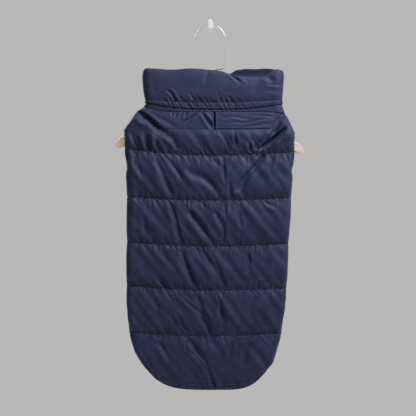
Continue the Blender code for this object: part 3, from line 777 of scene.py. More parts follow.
def relax(start, target, hold, wide, tall, steps, ring=False, padding=0.05):
    """Settles a grid of cloth on its padding. The cloth is wide and tall times as long across
    and down as start is, so it buckles into folds; hold says how fast a point is pinned, the
    padding pulls the rest softly back along target's normals, and longer links resist bends."""
    x = start.copy()
    out = normals_of(target, ring)
    free = (1 - hold)[..., None]
    rows, columns = x.shape[:2]
    every_row, every_column = np.arange(rows)[:, None], np.arange(columns)[None]
    links = []

    def link(a, b, scale_a, scale_b, strength):
        length = np.linalg.norm(start[b] - start[a], axis=-1) * (scale_a[a] + scale_b[b]) / 2
        links.append((a, b, length[..., None], strength))

    for reach, strength in ((1, EDGE_PULL), (2, BEND_PULL)):
        for a, b in spans(columns, reach, ring):
            link((every_row, a[None]), (every_row, b[None]), wide, wide, strength)
        for a, b in spans(rows, reach, False):
            link((a[:, None], every_column), (b[:, None], every_column), tall, tall, strength)
    both = (wide + tall) / 2
    for lean in (-1, 1):
        for a, b in spans(rows, 1, False):
            ca = np.arange(columns) if ring else np.arange(max(0, -lean), columns - max(0, lean))
            cb = (ca + lean) % columns
            link((a[:, None], ca[None]), (b[:, None], cb[None]), both, both, SHEAR_PULL)

    for _ in range(steps):
        for a, b, rest, strength in links:
            xa, xb = x[a], x[b]
            gap = xb - xa
            now = np.sqrt((gap * gap).sum(-1, keepdims=True)) + 1e-9
            fa, fb = free[a], free[b]
            move = gap * (strength * (now - rest) / now / np.maximum(fa + fb, 1e-6))
            x[a] = xa + move * fa
            x[b] = xb - move * fb
        away = target - x
        back = (away * out).sum(-1, keepdims=True) * out
        x += free * (padding * back + SLIDE_PULL * (away - back))
    return x


def add_between(grid, ring):
    """The grid with a row added on a smooth curve after each one; a ring's last row meets its first."""
    if ring:
        around = np.concatenate([grid[-1:], grid, grid[:2]])
        made = np.empty((2 * len(grid), *grid.shape[1:]))
    else:
        around = np.concatenate([2 * grid[:1] - grid[1:2], grid, 2 * grid[-1:] - grid[-2:-1]])
        made = np.empty((2 * len(grid) - 1, *grid.shape[1:]))
    made[0::2] = grid
    made[1::2] = (9 * (around[1:-2] + around[2:-1]) - around[:-3] - around[3:]) / 16
    return made


def refine(grid, ring=False):
    """The same surface with a point added between each two, in both directions."""
    tall = add_between(grid, False)
    return add_between(tall.swapaxes(0, 1), ring).swapaxes(0, 1)


def finer_rows(rows, count):
    """The row values of a refined grid with count rows."""
    return np.interp(np.arange(count) / 2, np.arange(len(rows)), rows)


def add_piece(made, nodes):
    """Puts a piece in the scene in the place of these nodes."""
    bpy.context.scene.collection.objects.link(made)
    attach(made, "root")
    if nodes:
        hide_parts(*nodes)


def add_mesh(name, points, faces, finish, nodes=(), smooth_angle=None):
    """A piece made from points in millimetres and faces."""
    mesh = bpy.data.meshes.new(name)
    mesh.from_pydata((np.asarray(points, float) * MM).tolist(), [], faces)
    mesh.validate()
    mesh.materials.append(finish)
    mesh.shade_smooth()
    if smooth_angle:
        mesh.set_sharp_from_angle(angle=math.radians(smooth_angle))
    made = bpy.data.objects.new(name, mesh)
    add_piece(made, nodes)
    return made


def grid_faces(rows, columns, base=0, flip=False, ring=False):
    """The faces of a grid of points that starts at the index base."""
    across = columns if ring else columns - 1
    j, i = np.meshgrid(np.arange(rows - 1), np.arange(across), indexing="ij")
    a = base + j * columns + i
    b = base + j * columns + (i + 1) % columns
    quads = np.stack([a, b, b + columns, a + columns], axis=-1).reshape(-1, 4)
    return (quads[:, ::-1] if flip else quads).tolist()


def closed_rings(rows, count, flip=False):
    """The faces of a skin of rings whose last ring joins its first."""
    last = (rows - 1) * count
    faces = grid_faces(rows, count, flip=flip, ring=True)
    for i in range(count):
        j = (i + 1) % count
        faces.append([i, j, last + j, last + i] if flip else [j, i, last + i, last + j])
    return faces


def capped_tube(name, points, rings, count, finish, node, slot, smooth_angle):
    """A piece made of rings of points, with a flat face at each end."""
    last = (rings - 1) * count
    faces = grid_faces(rings, count, ring=True)
    faces.append(list(range(count))[::-1])
    faces.append([last + i for i in range(count)])
    add_mesh(name, points, faces, finish, [node], smooth_angle)


def rim_of(rows, columns, base=0):
    """The indices round the edge of an open grid."""
    top = [base + i for i in range(columns)]
    right = [base + j * columns + columns - 1 for j in range(1, rows)]
    bottom = [base + (rows - 1) * columns + i for i in range(columns - 2, -1, -1)]
    left = [base + j * columns for j in range(rows - 2, 0, -1)]
    return top + right + bottom + left


def shell(name, outer, inner, finish, *nodes):
    """A closed wall between a shell and a lining that has every second point of the shell's."""
    rows, columns = outer.shape[:2]
    in_rows, in_columns = inner.shape[:2]
    base = rows * columns
    points = np.concatenate([outer.reshape(-1, 3), inner.reshape(-1, 3)])
    faces = grid_faces(rows, columns, flip=True) + grid_faces(in_rows, in_columns, base)
    out_rim, in_rim = rim_of(rows, columns), rim_of(in_rows, in_columns, base)
    step = len(out_rim) // len(in_rim)
    for k in range(len(in_rim)):
        after = (k + 1) % len(in_rim)
        outside = [out_rim[(k * step + s) % len(out_rim)] for s in range(step + 1)]
        faces.append([*outside, in_rim[after], in_rim[k]])
    return add_mesh(name, points, faces, finish, nodes)


# ---------------------------------------------------------------- the back and the belly


def panel_rows(channels, count):
    """Rows from one line of stitching to the next, closer together next to the stitching."""
    t = np.linspace(0, 1, count + 1)[:-1]
    t = t - ROW_CROWDING * np.sin(2 * np.pi * t) / (2 * np.pi)
    return np.concatenate([k + t for k in range(channels)] + [[channels]])


def yoke_cover(x, v, soft, soft_rows):
    """1 under the yoke and 0 elsewhere, changing over the width soft outside its side edges."""
    share = np.clip((v - YOKE_TOP) / (YOKE_BOTTOM - YOKE_TOP), 0, 1)
    left = YOKE_LEFT_EDGE[0] + (YOKE_LEFT_EDGE[1] - YOKE_LEFT_EDGE[0]) * share
    right = YOKE_RIGHT_EDGE[0] + (YOKE_RIGHT_EDGE[1] - YOKE_RIGHT_EDGE[0]) * share
    inside = ease(0, soft, x - left + soft - 2) * ease(0, soft, right - x + soft - 2)
    return inside * (1 - ease(YOKE_BOTTOM - 0.01, YOKE_BOTTOM + soft_rows, v))


def crumple(grid, rows, channels, folds=(), yoke=False):
    """Presses the sharp folds, the finest puckers and the wrinkles into a settled panel. Under
    the yoke they give way to the yoke's own creases."""
    out = normals_of(grid)
    x, z = grid[..., 0], grid[..., 2]
    fine_rows = finer_rows(rows, len(grid))
    height = np.array([puff(v) for v in fine_rows])[:, None]
    dent = pucker_depth(x, z, puckers(FINE_PUCKERS, channels, *BACK_PUCKERS))
    near_x, near_z = x + waves(x, z, WANDER_X), z + waves(x, z, WANDER_Z)
    dent += pucker_depth(near_x, near_z, wrinkles(channels))
    for fold in folds:
        dent += fold_along(x, z, fold)
    if yoke:
        cover = yoke_cover(x, fine_rows[:, None], 4.0, 0.05)
        dent = dent * (1 - cover) + (YOKE_SINK + total_of(YOKE_CREASES, x, z)) * cover
    facing = ease(0.35, 0.8, np.abs(out[..., 1]))
    dent *= facing * (0.15 + 0.85 * np.minimum(1, height * 2.5))
    dent[[0, -1]] = 0
    dent[:, [0, -1]] = 0
    return grid - out * dent[..., None]


def hem_groove(lift, rows, channels, last_channel):
    """How deep the line of stitching along the hem is pulled in."""
    off = ((channels - rows[:, None]) * last_channel - HEM_STITCH) / HEM_GROOVE["width"]
    return HEM_GROOVE["depth"] * np.exp(-(off**2)) * (lift > HEM_GROOVE["least_lift"])


def settle_panel(target, outward, rows, hold, wide):
    """A panel's shell, pinned along its side edges and its lines of stitching, settled and with
    a point added between each two."""
    hold[np.isclose(rows, np.round(rows))] = 1.0
    hold[:, [0, -1]] = 1.0
    noise = rng.normal(0, UNEVENNESS, hold.shape) * (1 - hold)
    start = target + noise[..., None] * outward
    return refine(relax(start, target, hold, wide, np.full(hold.shape, EASE_DOWN), SETTLE_STEPS))


def back_section(v, fractions):
    """The middle of the wall in row v, its outward direction, its distance from the side seam
    and its turn round the side, at fractions from -2 to 2; the front is flat from -1 to 1."""
    left, right = row_limits(v)
    front = row_depth(v, "front")
    radius = (row_depth(v, "rear") - front) / 2
    full_wrap = math.radians(float(smooth(column(WRAP, "line"), column(WRAP, "degrees"), v)))
    wraps = []
    for side, u in (("left", -1.0), ("right", 1.0)):
        hole = leg_hole_reach(side, row_height(v, u))
        limit = (LEG_HOLE_ARC - hole) / radius if hole else full_wrap
        wraps.append(min(full_wrap, limit))
    side = np.sign(fractions)
    wrap = np.where(side < 0, *wraps)
    flat = np.clip(fractions, -1, 1)
    bend = (np.abs(fractions) - np.abs(flat)) * wrap
    reach = radius * math.sin(min(full_wrap, math.pi / 2))
    edge = np.where(side < 0, SPINE_X - (left + reach), (right - reach) - SPINE_X)
    x = SPINE_X + flat * edge + side * radius * np.sin(bend)
    y = front + radius * (1 - np.cos(bend))
    z = row_height(v, across_share(x, left, right))
    outward = np.stack([side * np.sin(bend), -np.cos(bend), np.zeros_like(x)], axis=-1)
    from_edge = (1 - np.abs(flat)) * edge + (wrap - bend) * radius
    return np.stack([x, y, z], axis=-1), outward, from_edge, bend


def make_back(finish):
    """The back panel. Returns its settled shell and the row values of that grid."""
    rows = panel_rows(CHANNELS, BACK_GRID["rows"])
    turn, flat = BACK_GRID["turn"], BACK_GRID["flat"]
    left_turn, right_turn = np.linspace(-2, -1, turn)[:-1], np.linspace(1, 2, turn)[1:]
    fractions = np.concatenate([left_turn, np.linspace(-1, 1, flat), right_turn])
    sections = [back_section(v, fractions) for v in rows]
    middle, outward, from_edge, bend = [np.array(part) for part in zip(*sections)]
    turned = ease(math.radians(15), math.radians(80), bend)
    height = np.array([puff(v) for v in rows])[:, None]
    filling = height * ease(0, EDGE_RAMP, from_edge) ** 0.7 * (1 - (1 - SIDE_FILLING) * turned)
    x, z = middle[..., 0], middle[..., 2]
    under_yoke = yoke_cover(x, rows[:, None], 14.0, 0.14)
    filling = filling * (1 - under_yoke * (0.12 + 0.33 * ease(-14, 2, x)))

    folds = (total_of(CREASES, x, z) + waves(x, z, SOFT_FOLDS) * height) * (1 - under_yoke)
    small = pucker_depth(x, z, puckers(PUCKERS, CHANNELS, *BACK_PUCKERS))
    pressed = folds + small * (PUCKER_IN_SEAM + (1 - PUCKER_IN_SEAM) * height)
    lift = SEAM_WALL / 2 + BACK_PUFF_OUT * filling - pressed * (1 - 0.8 * turned)
    lift = lift - hem_groove(lift, rows, CHANNELS, LAST_CHANNEL["back"])
    in_slot = np.exp(-(((x - SPINE_X) / SLOT_WIDTH) ** 2)) * (1 - ease(*SLOT_END, rows[:, None]))
    lift = np.maximum(lift, LEAST_HALF_WALL) - SLOT_DEPTH * in_slot
    target = middle + outward * lift[..., None]

    sink = SEAM_WALL / 2 + BACK_PUFF_IN * filling - 0.5 * small * height
    inner = middle - outward * np.maximum(sink, LEAST_HALF_WALL)[..., None]
    hold = np.maximum(0.3 * under_yoke, in_slot)
    wide = EASE_ACROSS + FULLNESS * (1 - height**0.8) * (1 - under_yoke)
    outer = settle_panel(target, outward, rows, hold, wide)
    outer = crumple(outer, rows, CHANNELS, SHARP_FOLDS, yoke=True)
    back = shell("back_quilt", outer, inner, finish, "back_panel")
    return outer, finer_rows(rows, len(outer))


def belly_edge(v, side):
    """The belly's side edge in row v, which keeps clear of the back's turn and scoops round the
    leg opening. The inset depends on its own height, so it is found in a few rounds."""
    left, right = row_limits(v)
    radius = (row_depth(v, "rear") - row_depth(v, "front")) / 2
    limit, inward = (left, 1) if side == "left" else (right, -1)
    inset = SIDE_SEAM_INSET
    for _ in range(3):
        x = limit + inward * (radius + inset)
        hole = leg_hole_reach(side, row_height(v, float(across_share(x, left, right))))
        past_turn = LEG_HOLE_ARC + hole - math.pi * radius
        inset = max(SIDE_SEAM_INSET, past_turn) if hole else SIDE_SEAM_INSET
    return limit + inward * (radius + inset)


def make_belly(finish):
    """The belly panel. Returns its settled shell and the row values of that grid."""
    rows = panel_rows(BELLY_CHANNELS, BELLY_GRID["rows"])
    edges = [(belly_edge(v, "left"), belly_edge(v, "right")) for v in rows]
    x = np.array([np.linspace(*edge, BELLY_GRID["across"]) for edge in edges])
    z = np.array([row_height(v, across_share(x[j], *row_limits(v))) for j, v in enumerate(rows)])
    rear = np.array([row_depth(v, "rear") for v in rows])[:, None]
    height = np.array([puff(v) for v in rows])[:, None]
    from_edge = np.minimum(x - x[:, :1], x[:, -1:] - x)
    filling = height * ease(0, EDGE_RAMP, from_edge) ** 0.7
    small = pucker_depth(x, z, puckers(PUCKERS, BELLY_CHANNELS, *BELLY_PUCKERS, BELLY_PUCKER_SHARE))
    folds = total_of(BELLY_CREASES, x, z) + waves(x, z, SOFT_FOLDS) * height
    pressed = folds + small * (PUCKER_IN_SEAM + (1 - PUCKER_IN_SEAM) * height)
    lift = SEAM_WALL / 2 + BELLY_PUFF_OUT * filling - pressed
    lift = lift - hem_groove(lift, rows, BELLY_CHANNELS, LAST_CHANNEL["belly"])
    lift = np.maximum(lift, LEAST_HALF_WALL)
    target = np.stack([x, rear + lift, z], axis=-1)[:, ::-1]

    sink = SEAM_WALL / 2 + BELLY_PUFF_IN * filling
    inner = np.stack([x, rear - sink, z], axis=-1)[:, ::-1]
    wide = np.broadcast_to(EASE_ACROSS + FULLNESS * (1 - height**0.8), x.shape)
    outer = settle_panel(target, np.array([0.0, 1.0, 0.0]), rows, np.zeros(x.shape), wide)
    outer = crumple(outer, rows, BELLY_CHANNELS)
    belly = shell("belly_quilt", outer, inner, finish, "belly_panel")
    return outer, finer_rows(rows, len(outer))


# ---------------------------------------------------------------- rings round the neck


def ring_points(left, right, front, rear, across, around):
    """The middle line of a flattened tube and its outward direction. across and around are
    the numbers of points along a flat side and round an end."""
    radius = (rear - front) / 2
    flat_left, flat_right = left + radius, right - radius
    flat = np.linspace(flat_left, flat_right, across)
    turn = np.linspace(0, math.pi, around + 2)[1:-1]
    middle = (front + rear) / 2
    level = np.zeros_like(flat)
    right_x, left_x = flat_right + radius * np.sin(turn), flat_left - radius * np.sin(turn)
    x = np.concatenate([flat, right_x, flat[::-1], left_x])
    y = middle + radius * np.concatenate([level - 1, -np.cos(turn), level + 1, np.cos(turn)])
    out_x = np.concatenate([level, np.sin(turn), level, -np.sin(turn)])
    outward = np.stack([out_x, (y - middle) / radius, np.zeros_like(x)], axis=-1)
    return x, y, outward


def make_ruches():
    """Troughs of the gathered casing, which run on up into the collar and down to the band."""
    made = []
    for front in (True, False):
        x = GATHERS["from"]
        while x < GATHERS["to"]:
            made.append(
                {
                    "x": x,
                    "front": front,
                    "lean": draw(RUCHES["lean"]) * (1 if front or rng.random() < 0.5 else -1),
                    "depth": draw(RUCHES["depth"]) * (1 if front else RUCHES["rear_share"]),
                    "width": draw(RUCHES["width"]),
                    "reach": draw(RUCHES["reach"]),
                }
            )
            x += draw(RUCHES["spacing"])
    return made


def ruche_depth(x, y, z, u, ruches):
    """How deep the ruches are at points whose share across the coat is u."""
    top = line_height(NECK_LINES["collar_bottom"], u)
    bottom = line_height(NECK_LINES["casing_bottom"], u)
    total = np.zeros_like(x)
    front = y < HANG_Y
    for ruche in ruches:
        off = x - ruche["x"] + (z - (top + bottom) / 2) * ruche["lean"]
        above = 1 - ease(0, ruche["reach"], z - top)
        below = 1 - ease(0, RUCHES["reach_down"], bottom - z)
        here = (front == ruche["front"]) * above * below
        total += ruche["depth"] * here * np.exp(-((off / ruche["width"]) ** 2))
    return total


def collar_ring(down, angle, ruches):
    """One ring of the collar's skin: down is 0 at the rim and 1 at its foot, and angle is 0 on
    the outside, pi on the inside and between them over the rim."""
    downs = column(COLLAR_RINGS, "down")
    sides = ("left", "right", "front", "rear")
    size = {side: float(smooth(downs, column(COLLAR_RINGS, side), down)) for side in sides}
    x, y, outward = ring_points(**size, **COLLAR_GRID)
    rim_x = column(COLLAR_RIM, "x")
    share = ease(size["front"] + 3, size["rear"] - 3, y)
    rim = smooth(rim_x, column(COLLAR_RIM, "front"), x) * (1 - share)
    rim = rim + smooth(rim_x, column(COLLAR_RIM, "rear"), x) * share
    u = across_share(x, size["left"], size["right"])
    bottom = line_height(NECK_LINES["collar_bottom"], u) + SEAM_GAP
    z = rim + (bottom - rim) * down
    half = COLLAR_WALL / 2
    if angle == 0:
        bulge = math.sin(math.pi * min(1.0, down * 1.02)) ** 0.6
        half += COLLAR_PLUMP["edge"] + COLLAR_PLUMP["middle"] * bulge
    ring = np.stack([x, y, z + math.sin(angle) * COLLAR_WALL / 2], axis=-1)
    ring = ring + outward * math.cos(angle) * half
    if angle == 0:
        dent = ruche_depth(x, y, z, u, ruches) + (y < HANG_Y) * total_of(COLLAR_CREASES, x, z)
        ring = ring - outward * np.minimum(dent, half + COLLAR_DENT_LIMIT)[:, None]
    return ring, outward


def make_collar(finish, ruches):
    """The collar as one skin: up its outside, over the rim and down its inside."""
    places = [(down, 0.0) for down in np.linspace(1.0, 0.03, COLLAR_ROWS["outside"])]
    places += [(0.0, angle) for angle in np.linspace(0, math.pi, COLLAR_ROWS["rim"] + 2)[1:-1]]
    places += [(down, math.pi) for down in np.linspace(0.03, 1.0, COLLAR_ROWS["inside"])]
    rings = [collar_ring(down, angle, ruches) for down, angle in places]
    target, outward = [np.array(part) for part in zip(*rings)]
    hold = np.zeros(target.shape[:2])
    rim_start = COLLAR_ROWS["outside"]
    rim_end = rim_start + COLLAR_ROWS["rim"]
    hold[[0, -1]] = 1.0
    hold[rim_start:rim_end] = 0.5
    hold[rim_end:] = 0.9
    fullness = np.full(hold.shape, EASE_ACROSS)
    noise = rng.normal(0, 0.04, hold.shape)[..., None] * outward * (1 - hold)[..., None]
    start = target + noise
    steps = SETTLE_STEPS // 2
    settled = relax(start, target, hold, fullness, fullness, steps, ring=True, padding=0.08)
    skin = refine(settled, ring=True)
    rows, count = skin.shape[:2]
    faces = closed_rings(rows, count)
    collar = add_mesh("collar_cloth", skin.reshape(-1, 3), faces, finish, ["collar"])


def make_neck_ring(name, node, lines, wall, bulge, ruches, finish):
    """A narrow ring of cloth between two lines of stitching round the neck. Returns its grid."""
    end = COLLAR_RINGS[-1]
    coat_left, coat_right = row_limits(0.0)
    flares = lines[1] == "band_bottom"
    rings = []
    for down, lift in NECK_PROFILE:
        left = end["left"] + (coat_left - end["left"]) * down * flares
        right = end["right"] + (coat_right - end["right"]) * down * flares
        x, y, outward = ring_points(left, right, end["front"], end["rear"], **NECK_GRID)
        u = across_share(x, left, right)
        top = line_height(NECK_LINES[lines[0]], u)
        z = top + (line_height(NECK_LINES[lines[1]], u) + SEAM_GAP - top) * down
        if lift is None:
            out = np.full_like(x, -wall / 2)
        else:
            dent = ruche_depth(x, y, z, u, ruches) * max(0.25, lift)
            out = wall / 2 + bulge * lift - dent * (0.9 if lift >= 0 else 0)
        rings.append(np.stack([x, y, z], axis=-1) + outward * out[:, None])
    grid = np.array(rings)
    faces = closed_rings(*grid.shape[:2], flip=True)
    ring = add_mesh(name, grid.reshape(-1, 3), faces, finish, [node])
    return grid


# ---------------------------------------------------------------- the yoke and its slot


def read_grid(grid, row_values, v, x):
    """Points of the back's settled shell in the row v, at the places x of its flat front."""
    j = float(np.interp(v, row_values, np.arange(len(row_values))))
    low = int(min(j, len(grid) - 2))
    share = j - low
    line = grid[low] * (1 - share) + grid[low + 1] * share
    keep = np.abs(np.arange(len(line)) - len(line) / 2) < len(line) * 0.44
    line = line[keep]
    return np.stack([np.interp(x, line[:, 0], line[:, i]) for i in range(3)], axis=-1)


def stretched_over(y, rounds=4):
    """Depths y with the hollows bridged, as cloth that is stretched over them does."""
    for _ in range(rounds):
        pad = np.pad(y, 1, mode="edge")
        around = pad[:-2, 1:-1] + pad[2:, 1:-1] + pad[1:-1, :-2] + pad[1:-1, 2:]
        y = np.minimum(y, around / 4)
    return y


def make_yoke(side, back, wall, finish):
    """One side of the yoke, with turned edges and a raised lip along the slot."""
    rows, cloth, lip_points = YOKE_GRID["rows"], YOKE_GRID["cloth"], YOKE_GRID["lip"]
    away = -1 if side == "left" else 1
    lip = SPINE_X + away * (SLOT_WIDTH / 2 + WELT_WIDTH)
    slot = SPINE_X + away * SLOT_WIDTH / 2
    edge = YOKE_LEFT_EDGE if side == "left" else YOKE_RIGHT_EDGE
    x = []
    for start in np.linspace(*edge, rows):
        x.append([*np.linspace(start, lip, cloth), *np.linspace(lip, slot, lip_points)[1:]])
    x = np.array(x)
    rolled = np.concatenate([np.zeros(cloth), np.sin(np.linspace(0, math.pi, lip_points))[1:]])
    if side == "right":
        x, rolled = x[:, ::-1], rolled[::-1]
    levels = np.linspace(YOKE_TOP, YOKE_BOTTOM, rows)
    base = np.array([read_grid(*back, v, line) for v, line in zip(levels, x)])
    top = stretched_over(base[..., 1]) - YOKE_LIFT - wall - LIP_RISE * rolled
    top = top + total_of(YOKE_CREASES, base[..., 0], base[..., 2])
    top = np.minimum(top, base[..., 1] - YOKE_LEAST_RISE)
    down, along = np.arange(rows), np.arange(x.shape[1])
    from_edge = np.minimum.outer(np.minimum(down, down[::-1]), np.minimum(along, along[::-1]))
    top += wall * (0.8 * (from_edge == 0) + 0.2 * (from_edge == 1))
    outer = np.stack([base[..., 0], top, base[..., 2]], axis=-1)
    under = np.maximum(top + 0.3, base[..., 1] - 0.25)
    inner = np.stack([base[..., 0], under, base[..., 2]], axis=-1)
    nodes = (f"yoke_{side}", f"slot_welt_{side}")
    yoke = shell(f"yoke_cloth_{side}", refine(outer), inner, finish, *nodes)
    return outer


# ---------------------------------------------------------------- stitches


def one_stitch(centre, along, up, base):
    """A short rounded stitch. base is the number of points before it."""
    up = up - along * (up @ along)
    up = up / np.linalg.norm(up)
    across = np.cross(along, up)
    turn = np.linspace(0, 2 * math.pi, STITCH["sides"], endpoint=False)
    wide, high = np.cos(turn) * STITCH["wide"], np.sin(turn) * STITCH["high"]
    loop = (np.outer(wide, across) + np.outer(high, up)) * STITCH["radius"]
    points = []
    for at, share in STITCH_PROFILE:
        points += list(centre + along * at * STITCH["length"] + up * STITCH["lift"] + loop * share)
    rings, count = len(STITCH_PROFILE), STITCH["sides"]
    last = base + (rings - 1) * count
    faces = grid_faces(rings, count, base, flip=True, ring=True)
    faces.append([base + i for i in range(count)])
    faces.append([last + i for i in range(count - 1, -1, -1)])
    return points, faces


def stitches(name, lines, finish):
    """Rows of stitches. A line is points and the outward direction at each."""
    points, faces = [], []
    for path, out in lines:
        run = np.concatenate([[0], np.cumsum(np.linalg.norm(np.diff(path, axis=0), axis=-1))])
        places = np.arange(STITCH["pitch"] / 2, run[-1], STITCH["pitch"])
        centre = np.stack([np.interp(places, run, path[:, i]) for i in range(3)], axis=-1)
        ahead = np.stack([np.interp(places + 0.3, run, path[:, i]) for i in range(3)], axis=-1)
        ups = np.stack([np.interp(places, run, out[:, i]) for i in range(3)], axis=-1)
        lengths = np.linalg.norm(ahead - centre, axis=-1)
        for c, a, size, up in zip(centre, ahead, lengths, ups):
            if size > 1e-6:
                new_points, new_faces = one_stitch(c, (a - c) / size, up, len(points))
                points += new_points
                faces += new_faces
    add_mesh(name, points, faces, finish)


def line_on(grid, j, ring=False):
    """A line of a settled grid with its outward direction, lifted a little off the cloth."""
    out = normals_of(grid, ring)[j]
    path = grid[j] + out * THREAD_LIFT
    if ring:
        path, out = np.concatenate([path, path[:1]]), np.concatenate([out, out[:1]])
    return path, out


def make_thread(back, belly, casing, right_yoke, finish):
    """All the stitching that shows: quilting, hems, the casing's two lines and the yoke's."""
    lines = []
    for grid, values in (back, belly):
        for k in range(1, int(values[-1])):
            lines.append(line_on(grid, int(np.argmin(np.abs(values - k)))))
        from_hem = (values[-1] - values) * LAST_CHANNEL["thread"]
        lines.append(line_on(grid, int(np.argmin(np.abs(from_hem - HEM_STITCH)))))
    stitches("quilting_thread", lines, finish)

    lines = [line_on(casing, 1, ring=True), line_on(casing, len(casing) - 6, ring=True)]
    lines.append(line_on(right_yoke[:, 2:-2], -3))
    for marks in BAR_TACK:
        points = np.array([read_grid(*back, v, x) for x, v in marks])
        lines.append((points + (0, -0.3, 0), np.full((len(points), 3), (0.0, -1.0, 0.0))))
    stitches("neck_thread", lines, finish)


# ---------------------------------------------------------------- hanger and wall hook


def make_bar(finish):
    """The bar: an arch with softly squared sections, which thin out towards rounded ends."""
    places = BAR_HALF_SPAN * np.sin(np.linspace(-math.pi / 2, math.pi / 2, BAR_GRID["along"]))
    corners = np.linspace(0, 2 * math.pi, BAR_GRID["around"], endpoint=False)
    round_y = np.sign(np.cos(corners)) * np.abs(np.cos(corners)) ** BAR_CORNER
    round_z = np.sign(np.sin(corners)) * np.abs(np.sin(corners)) ** BAR_CORNER
    points = []
    for x in places:
        from_end = min(1.0, (BAR_HALF_SPAN - abs(x)) / BAR_END_ROUNDING)
        rounding = max(0.1, math.sqrt(1 - (1 - from_end) ** 2))
        middle_share = math.exp(-((x / BAR_MIDDLE_HALF_WIDTH) ** 2))
        depth = BAR_DEPTH_END + (BAR_DEPTH_MIDDLE - BAR_DEPTH_END) * middle_share
        top = -BAR_SLOPE * math.hypot(x, BAR_PEAK_HALF_WIDTH) + BAR_FLATTENING * x * x
        for y_share, z_share in zip(round_y, round_z):
            y = BAR_THICKNESS / 2 * y_share * max(rounding, 0.45)
            points.append((x, y, top - depth / 2 + depth / 2 * z_share * rounding))
    points = np.array(points)
    turn, lean = math.cos(BAR_TILT), math.sin(BAR_TILT)
    x = points[:, 0] * turn + points[:, 2] * lean + BAR_CENTRE[0]
    z = points[:, 2] * turn - points[:, 0] * lean + BAR_CENTRE[1]
    points = np.stack([x, points[:, 1] + HANG_Y, z], axis=-1)
    size = (len(places), len(corners))
    capped_tube("wooden_bar", points, *size, finish, "hanger_bar", "wood", smooth_angle=50)


def bend_corner(before, corner, after, steps=9):
    """The points of a round bend in the wire, where it turns from one straight to another."""
    corner = np.array(corner, float)
    inward = np.array(before, float) - corner
    onward = np.array(after, float) - corner
    inward /= np.linalg.norm(inward)
    onward /= np.linalg.norm(onward)
    half = math.acos(np.clip(inward @ onward, -1, 1)) / 2
    tangent = WIRE_BEND_RADIUS / math.tan(half)
    bisector = (inward + onward) / np.linalg.norm(inward + onward)
    middle = corner + bisector * WIRE_BEND_RADIUS / math.sin(half)
    first, last = corner + inward * tangent, corner + onward * tangent
    start = math.atan2(*(first - middle)[::-1])
    end = math.atan2(*(last - middle)[::-1])
    swing = (end - start + math.pi) % (2 * math.pi) - math.pi
    angles = start + swing * np.linspace(0, 1, steps)
    return middle + WIRE_BEND_RADIUS * np.stack([np.cos(angles), np.sin(angles)], axis=-1)


def make_wire(finish):
    """The wire hook: a stem in the bar, a jog sideways, a leg up, and the round crown."""
    crown_z = ARM_HEIGHT / 2 + CROWN_TOP_GAP + WIRE_RADIUS - CROWN_RADIUS
    lean = math.tan(BAR_TILT)
    stem_foot = (BAR_CENTRE[0] - lean * STEM_DEPTH, BAR_CENTRE[1] - STEM_DEPTH)
    stem_mouth = (BAR_CENTRE[0] + lean * STEM_RISE, BAR_CENTRE[1] + STEM_RISE)
    stem_top, leg_foot = (JOG["stem_x"], JOG["stem_z"]), (JOG["leg_x"], JOG["leg_z"])
    leg_top = (CROWN_RADIUS, crown_z)
    turn = np.radians(np.linspace(0, CROWN_END_DEGREES, 60))
    crown = np.stack([CROWN_RADIUS * np.cos(turn), crown_z + CROWN_RADIUS * np.sin(turn)], axis=-1)
    stem_bend = bend_corner(stem_mouth, stem_top, leg_foot)
    leg_bend = bend_corner(stem_top, leg_foot, leg_top)
    path = np.concatenate([[stem_foot, stem_mouth], stem_bend, leg_bend, crown])
    ahead = path[-1] - path[-2]
    ahead = ahead / np.linalg.norm(ahead)
    tip = [path[-1] + ahead * WIRE_RADIUS * reach for reach, _ in WIRE_TIP]
    radii = [1.0] * len(path) + [radius for _, radius in WIRE_TIP]

    curve = bpy.data.curves.new("wire", "CURVE")
    curve.dimensions = "3D"
    curve.bevel_depth = WIRE_RADIUS * MM
    curve.bevel_resolution = 6
    curve.use_fill_caps = True
    spline = curve.splines.new("POLY")
    spline.points.add(len(radii) - 1)
    for point, (x, z), radius in zip(spline.points, [*path, *tip], radii):
        point.co = (x * MM, HANG_Y * MM, z * MM, 1.0)
        point.radius = radius
    curve.materials.append(finish)
    add_piece(bpy.data.objects.new("wire_hook", curve), ["hanger_hook"])


def make_wall_hook(finish):
    """The white hook: a plate on the wall, an arm, and a round-topped tongue in front."""
    half, arm_top = ARM_WIDTH / 2, ARM_HEIGHT / 2
    turn = np.linspace(0, math.pi, 25)
    round_top = np.stack([half * np.cos(turn), TONGUE_ROUNDING * np.sin(turn)], axis=-1)
    round_top[:, 1] += TONGUE_HEIGHT - arm_top - TONGUE_ROUNDING
    corner = np.linspace(0, math.pi / 2, 7)
    corner_x = -half + ARM_CHAMFER * (1 - np.cos(corner))
    corner_z = -arm_top + ARM_CHAMFER * (1 - np.sin(corner))
    left = np.stack([corner_x, corner_z], axis=-1)
    outline = np.concatenate([round_top, left, left[::-1] * (-1, 1)])
    points = []
    for y, width, height in WALL_HOOK_SECTIONS:
        above = np.maximum(outline[:, 1] - arm_top, 0.0)
        level = outline[:, 1] - above * (1 - height)
        points += [(x * width, y, z) for x, z in zip(outline[:, 0], level)]
    size = (len(WALL_HOOK_SECTIONS), len(outline))
    capped_tube("white_wall_hook", points, *size, finish, "wall_hook", "hook", smooth_angle=40)


# ---------------------------------------------------------------- materials


def node_of(tree, kind, **values):
    """A node with its properties and input sockets set by name."""
    made = tree.nodes.new(kind)
    for name, value in values.items():
        if name in made.inputs:
            made.inputs[name].default_value = value
        else:
            setattr(made, name, value)
    return made


